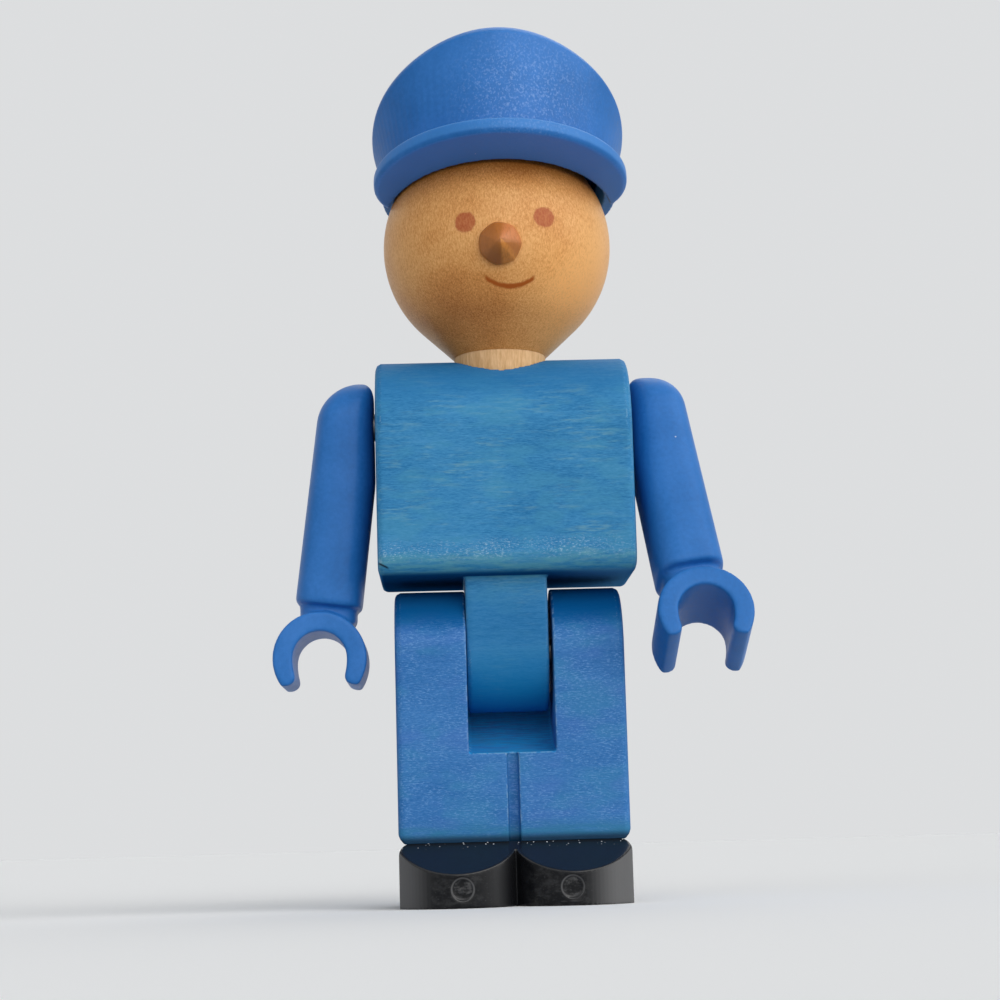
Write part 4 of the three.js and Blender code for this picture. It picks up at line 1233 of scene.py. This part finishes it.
def backdrop():
    """World that shows a pale tone and gives its own even light."""
    world = bpy.data.worlds.new("studio")
    world.use_nodes = True
    tree = world.node_tree
    tree.nodes.clear()
    path = add(tree, "ShaderNodeLightPath").outputs
    shown = most(tree, path["Is Camera Ray"], path["Is Transmission Ray"], path["Is Glossy Ray"])
    seen = add(tree, "ShaderNodeBackground", {"Color": BACKDROP_COLOUR, "Strength": 1.0})
    ambient = add(tree, "ShaderNodeBackground", {"Color": AMBIENT_COLOUR, "Strength": AMBIENT_STRENGTH})
    mixed = add(tree, "ShaderNodeMixShader", {0: shown, 1: ambient.outputs[0], 2: seen.outputs[0]})
    add(tree, "ShaderNodeOutputWorld", {"Surface": mixed.outputs[0]})
    bpy.context.scene.world = world


def lamp(name, towards, spread, power, tint):
    """Wide sun lamp."""
    data = bpy.data.lights.new(name, "SUN")
    data.angle = radians(spread)
    data.energy = power
    data.color = tint
    obj = bpy.data.objects.new(name, data)
    bpy.context.scene.collection.objects.link(obj)
    obj.rotation_euler = (-Vector(towards)).to_track_quat("-Z", "Y").to_euler()


def photo_camera():
    """Camera at the photograph's place and angle."""
    yaw, pitch, roll = (radians(a) for a in (CAMERA_YAW, CAMERA_PITCH, CAMERA_ROLL))
    forward = Vector((math.sin(yaw) * math.cos(pitch), math.cos(yaw) * math.cos(pitch), math.sin(pitch)))
    level = Vector((math.cos(yaw), -math.sin(yaw), 0))
    upright = level.cross(forward)
    right = math.cos(roll) * level + math.sin(roll) * upright
    up = math.cos(roll) * upright - math.sin(roll) * level
    data = bpy.data.cameras.new("photo_camera")
    data.sensor_width = SENSOR
    data.lens = SENSOR * FOCAL_PIXELS / IMAGE_PIXELS
    data.clip_start = CAMERA_CLIP * MM
    obj = bpy.data.objects.new("photo_camera", data)
    bpy.context.scene.collection.objects.link(obj)
    matrix = Matrix((right, up, -forward)).transposed().to_4x4()
    matrix.translation = Vector(CAMERA_PLACE) * MM
    obj.matrix_world = matrix
    bpy.context.scene.camera = obj


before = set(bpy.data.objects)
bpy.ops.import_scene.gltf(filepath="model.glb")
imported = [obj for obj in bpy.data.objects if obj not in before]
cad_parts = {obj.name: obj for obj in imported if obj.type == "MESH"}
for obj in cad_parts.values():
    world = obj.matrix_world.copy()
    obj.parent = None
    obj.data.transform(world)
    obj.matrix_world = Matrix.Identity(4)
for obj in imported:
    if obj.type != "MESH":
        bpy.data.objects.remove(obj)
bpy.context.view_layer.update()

head_low, head_high = (Vector(c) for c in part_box("head_ball"))
head_radius = (head_high.x - head_low.x) / 2 / MM
head_centre = Vector((0, 0, head_high.z - head_radius * MM))
torso_low, torso_high = (Vector(c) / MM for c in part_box("torso_block"))
leg_low, leg_high = (Vector(c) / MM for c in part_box("leg_block"))
axle_low, axle_high = (Vector(c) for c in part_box("shoulder_axle"))
neck_low, neck_high = (Vector(c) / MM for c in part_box("neck_dowel"))
shoulder_z = (axle_low.z + axle_high.z) / 2
arm_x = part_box("arm_left")[0][0]

bpy.context.scene.view_settings.view_transform = "Standard"
backdrop()
floor()
for lamp_name, values in LAMPS.items():
    lamp(lamp_name, **values)
photo_camera()

hip_z = leg_high.z - LEG_DEPTH / 2
dress(leg_wood(hip_z), "legs", leg_stain("stained_legs_painted_shade", leg_low.z, hip_z), "leg_block")

torso_base = torso_high.z - TORSO_HEIGHT
dress(torso_wood(torso_base, torso_low, torso_high, hip_z), "torso",
      torso_stain("stained_torso_painted_shade", torso_base, torso_low.x), "torso_block")

shoes = copy_of("shoes", "shoe_pair")
moulded(shoes, SHOE_VOXEL, SHOE_SOFTENING)
dress(shoes, "legs", black_plastic("shoe_plastic_painted_sheen", leg_low.z), "shoes")

left_arm = arm("arm_left_moulding")
right_arm = new_object("arm_right_moulding", left_arm.data.copy())
lift = Matrix.Rotation(-radians(LEFT_ARM_RAISE), 4, "X")
reshape(left_arm, Matrix.Translation((arm_x, 0, shoulder_z)) @ lift)
reshape(right_arm, Matrix.Translation((-arm_x, 0, shoulder_z)) @ Matrix.Scale(-1, 4, (1, 0, 0)))
dress(left_arm, "left_arm", blue_plastic("arm_left_plastic", ARM_LEFT_SEED)[0], "arm_left")
dress(right_arm, "right_arm", blue_plastic("arm_right_plastic", ARM_RIGHT_SEED)[0], "arm_right")

head = ball("head_wood", head_radius)
head.location = head_centre
dress(head, "head", lacquered_ball("head_lacquer_painted_light", head_radius), "head_ball")
nose_height = head_centre.z / MM - head_radius * math.sin(radians(NOSE_DROP))
dress(nose("nose_wood", head_centre, head_radius), "head", nose_stain_and_shade("nose_stain_and_shade", nose_height), "nose_peg")
dress(neck("neck_wood", neck_low.z, neck_high.z), "head",
      bare_wood("neck_bare", torso_high.z + NECK_LACQUER_START), "neck_dowel")
dress(cap("cap_moulding", head_centre, head_radius), "cap_body",
      cap_plastic_and_highlights("cap_plastic_and_highlights", CAP_SEED, head_centre.z / MM), "cap")

metal = steel("pin_steel_painted_shade")
for pin in ("hip_pin", "shoulder_axle"):
    pin_obj = chamfered(pin)
    pin_obj.data.materials.clear()
    pin_obj.data.materials.append(metal)
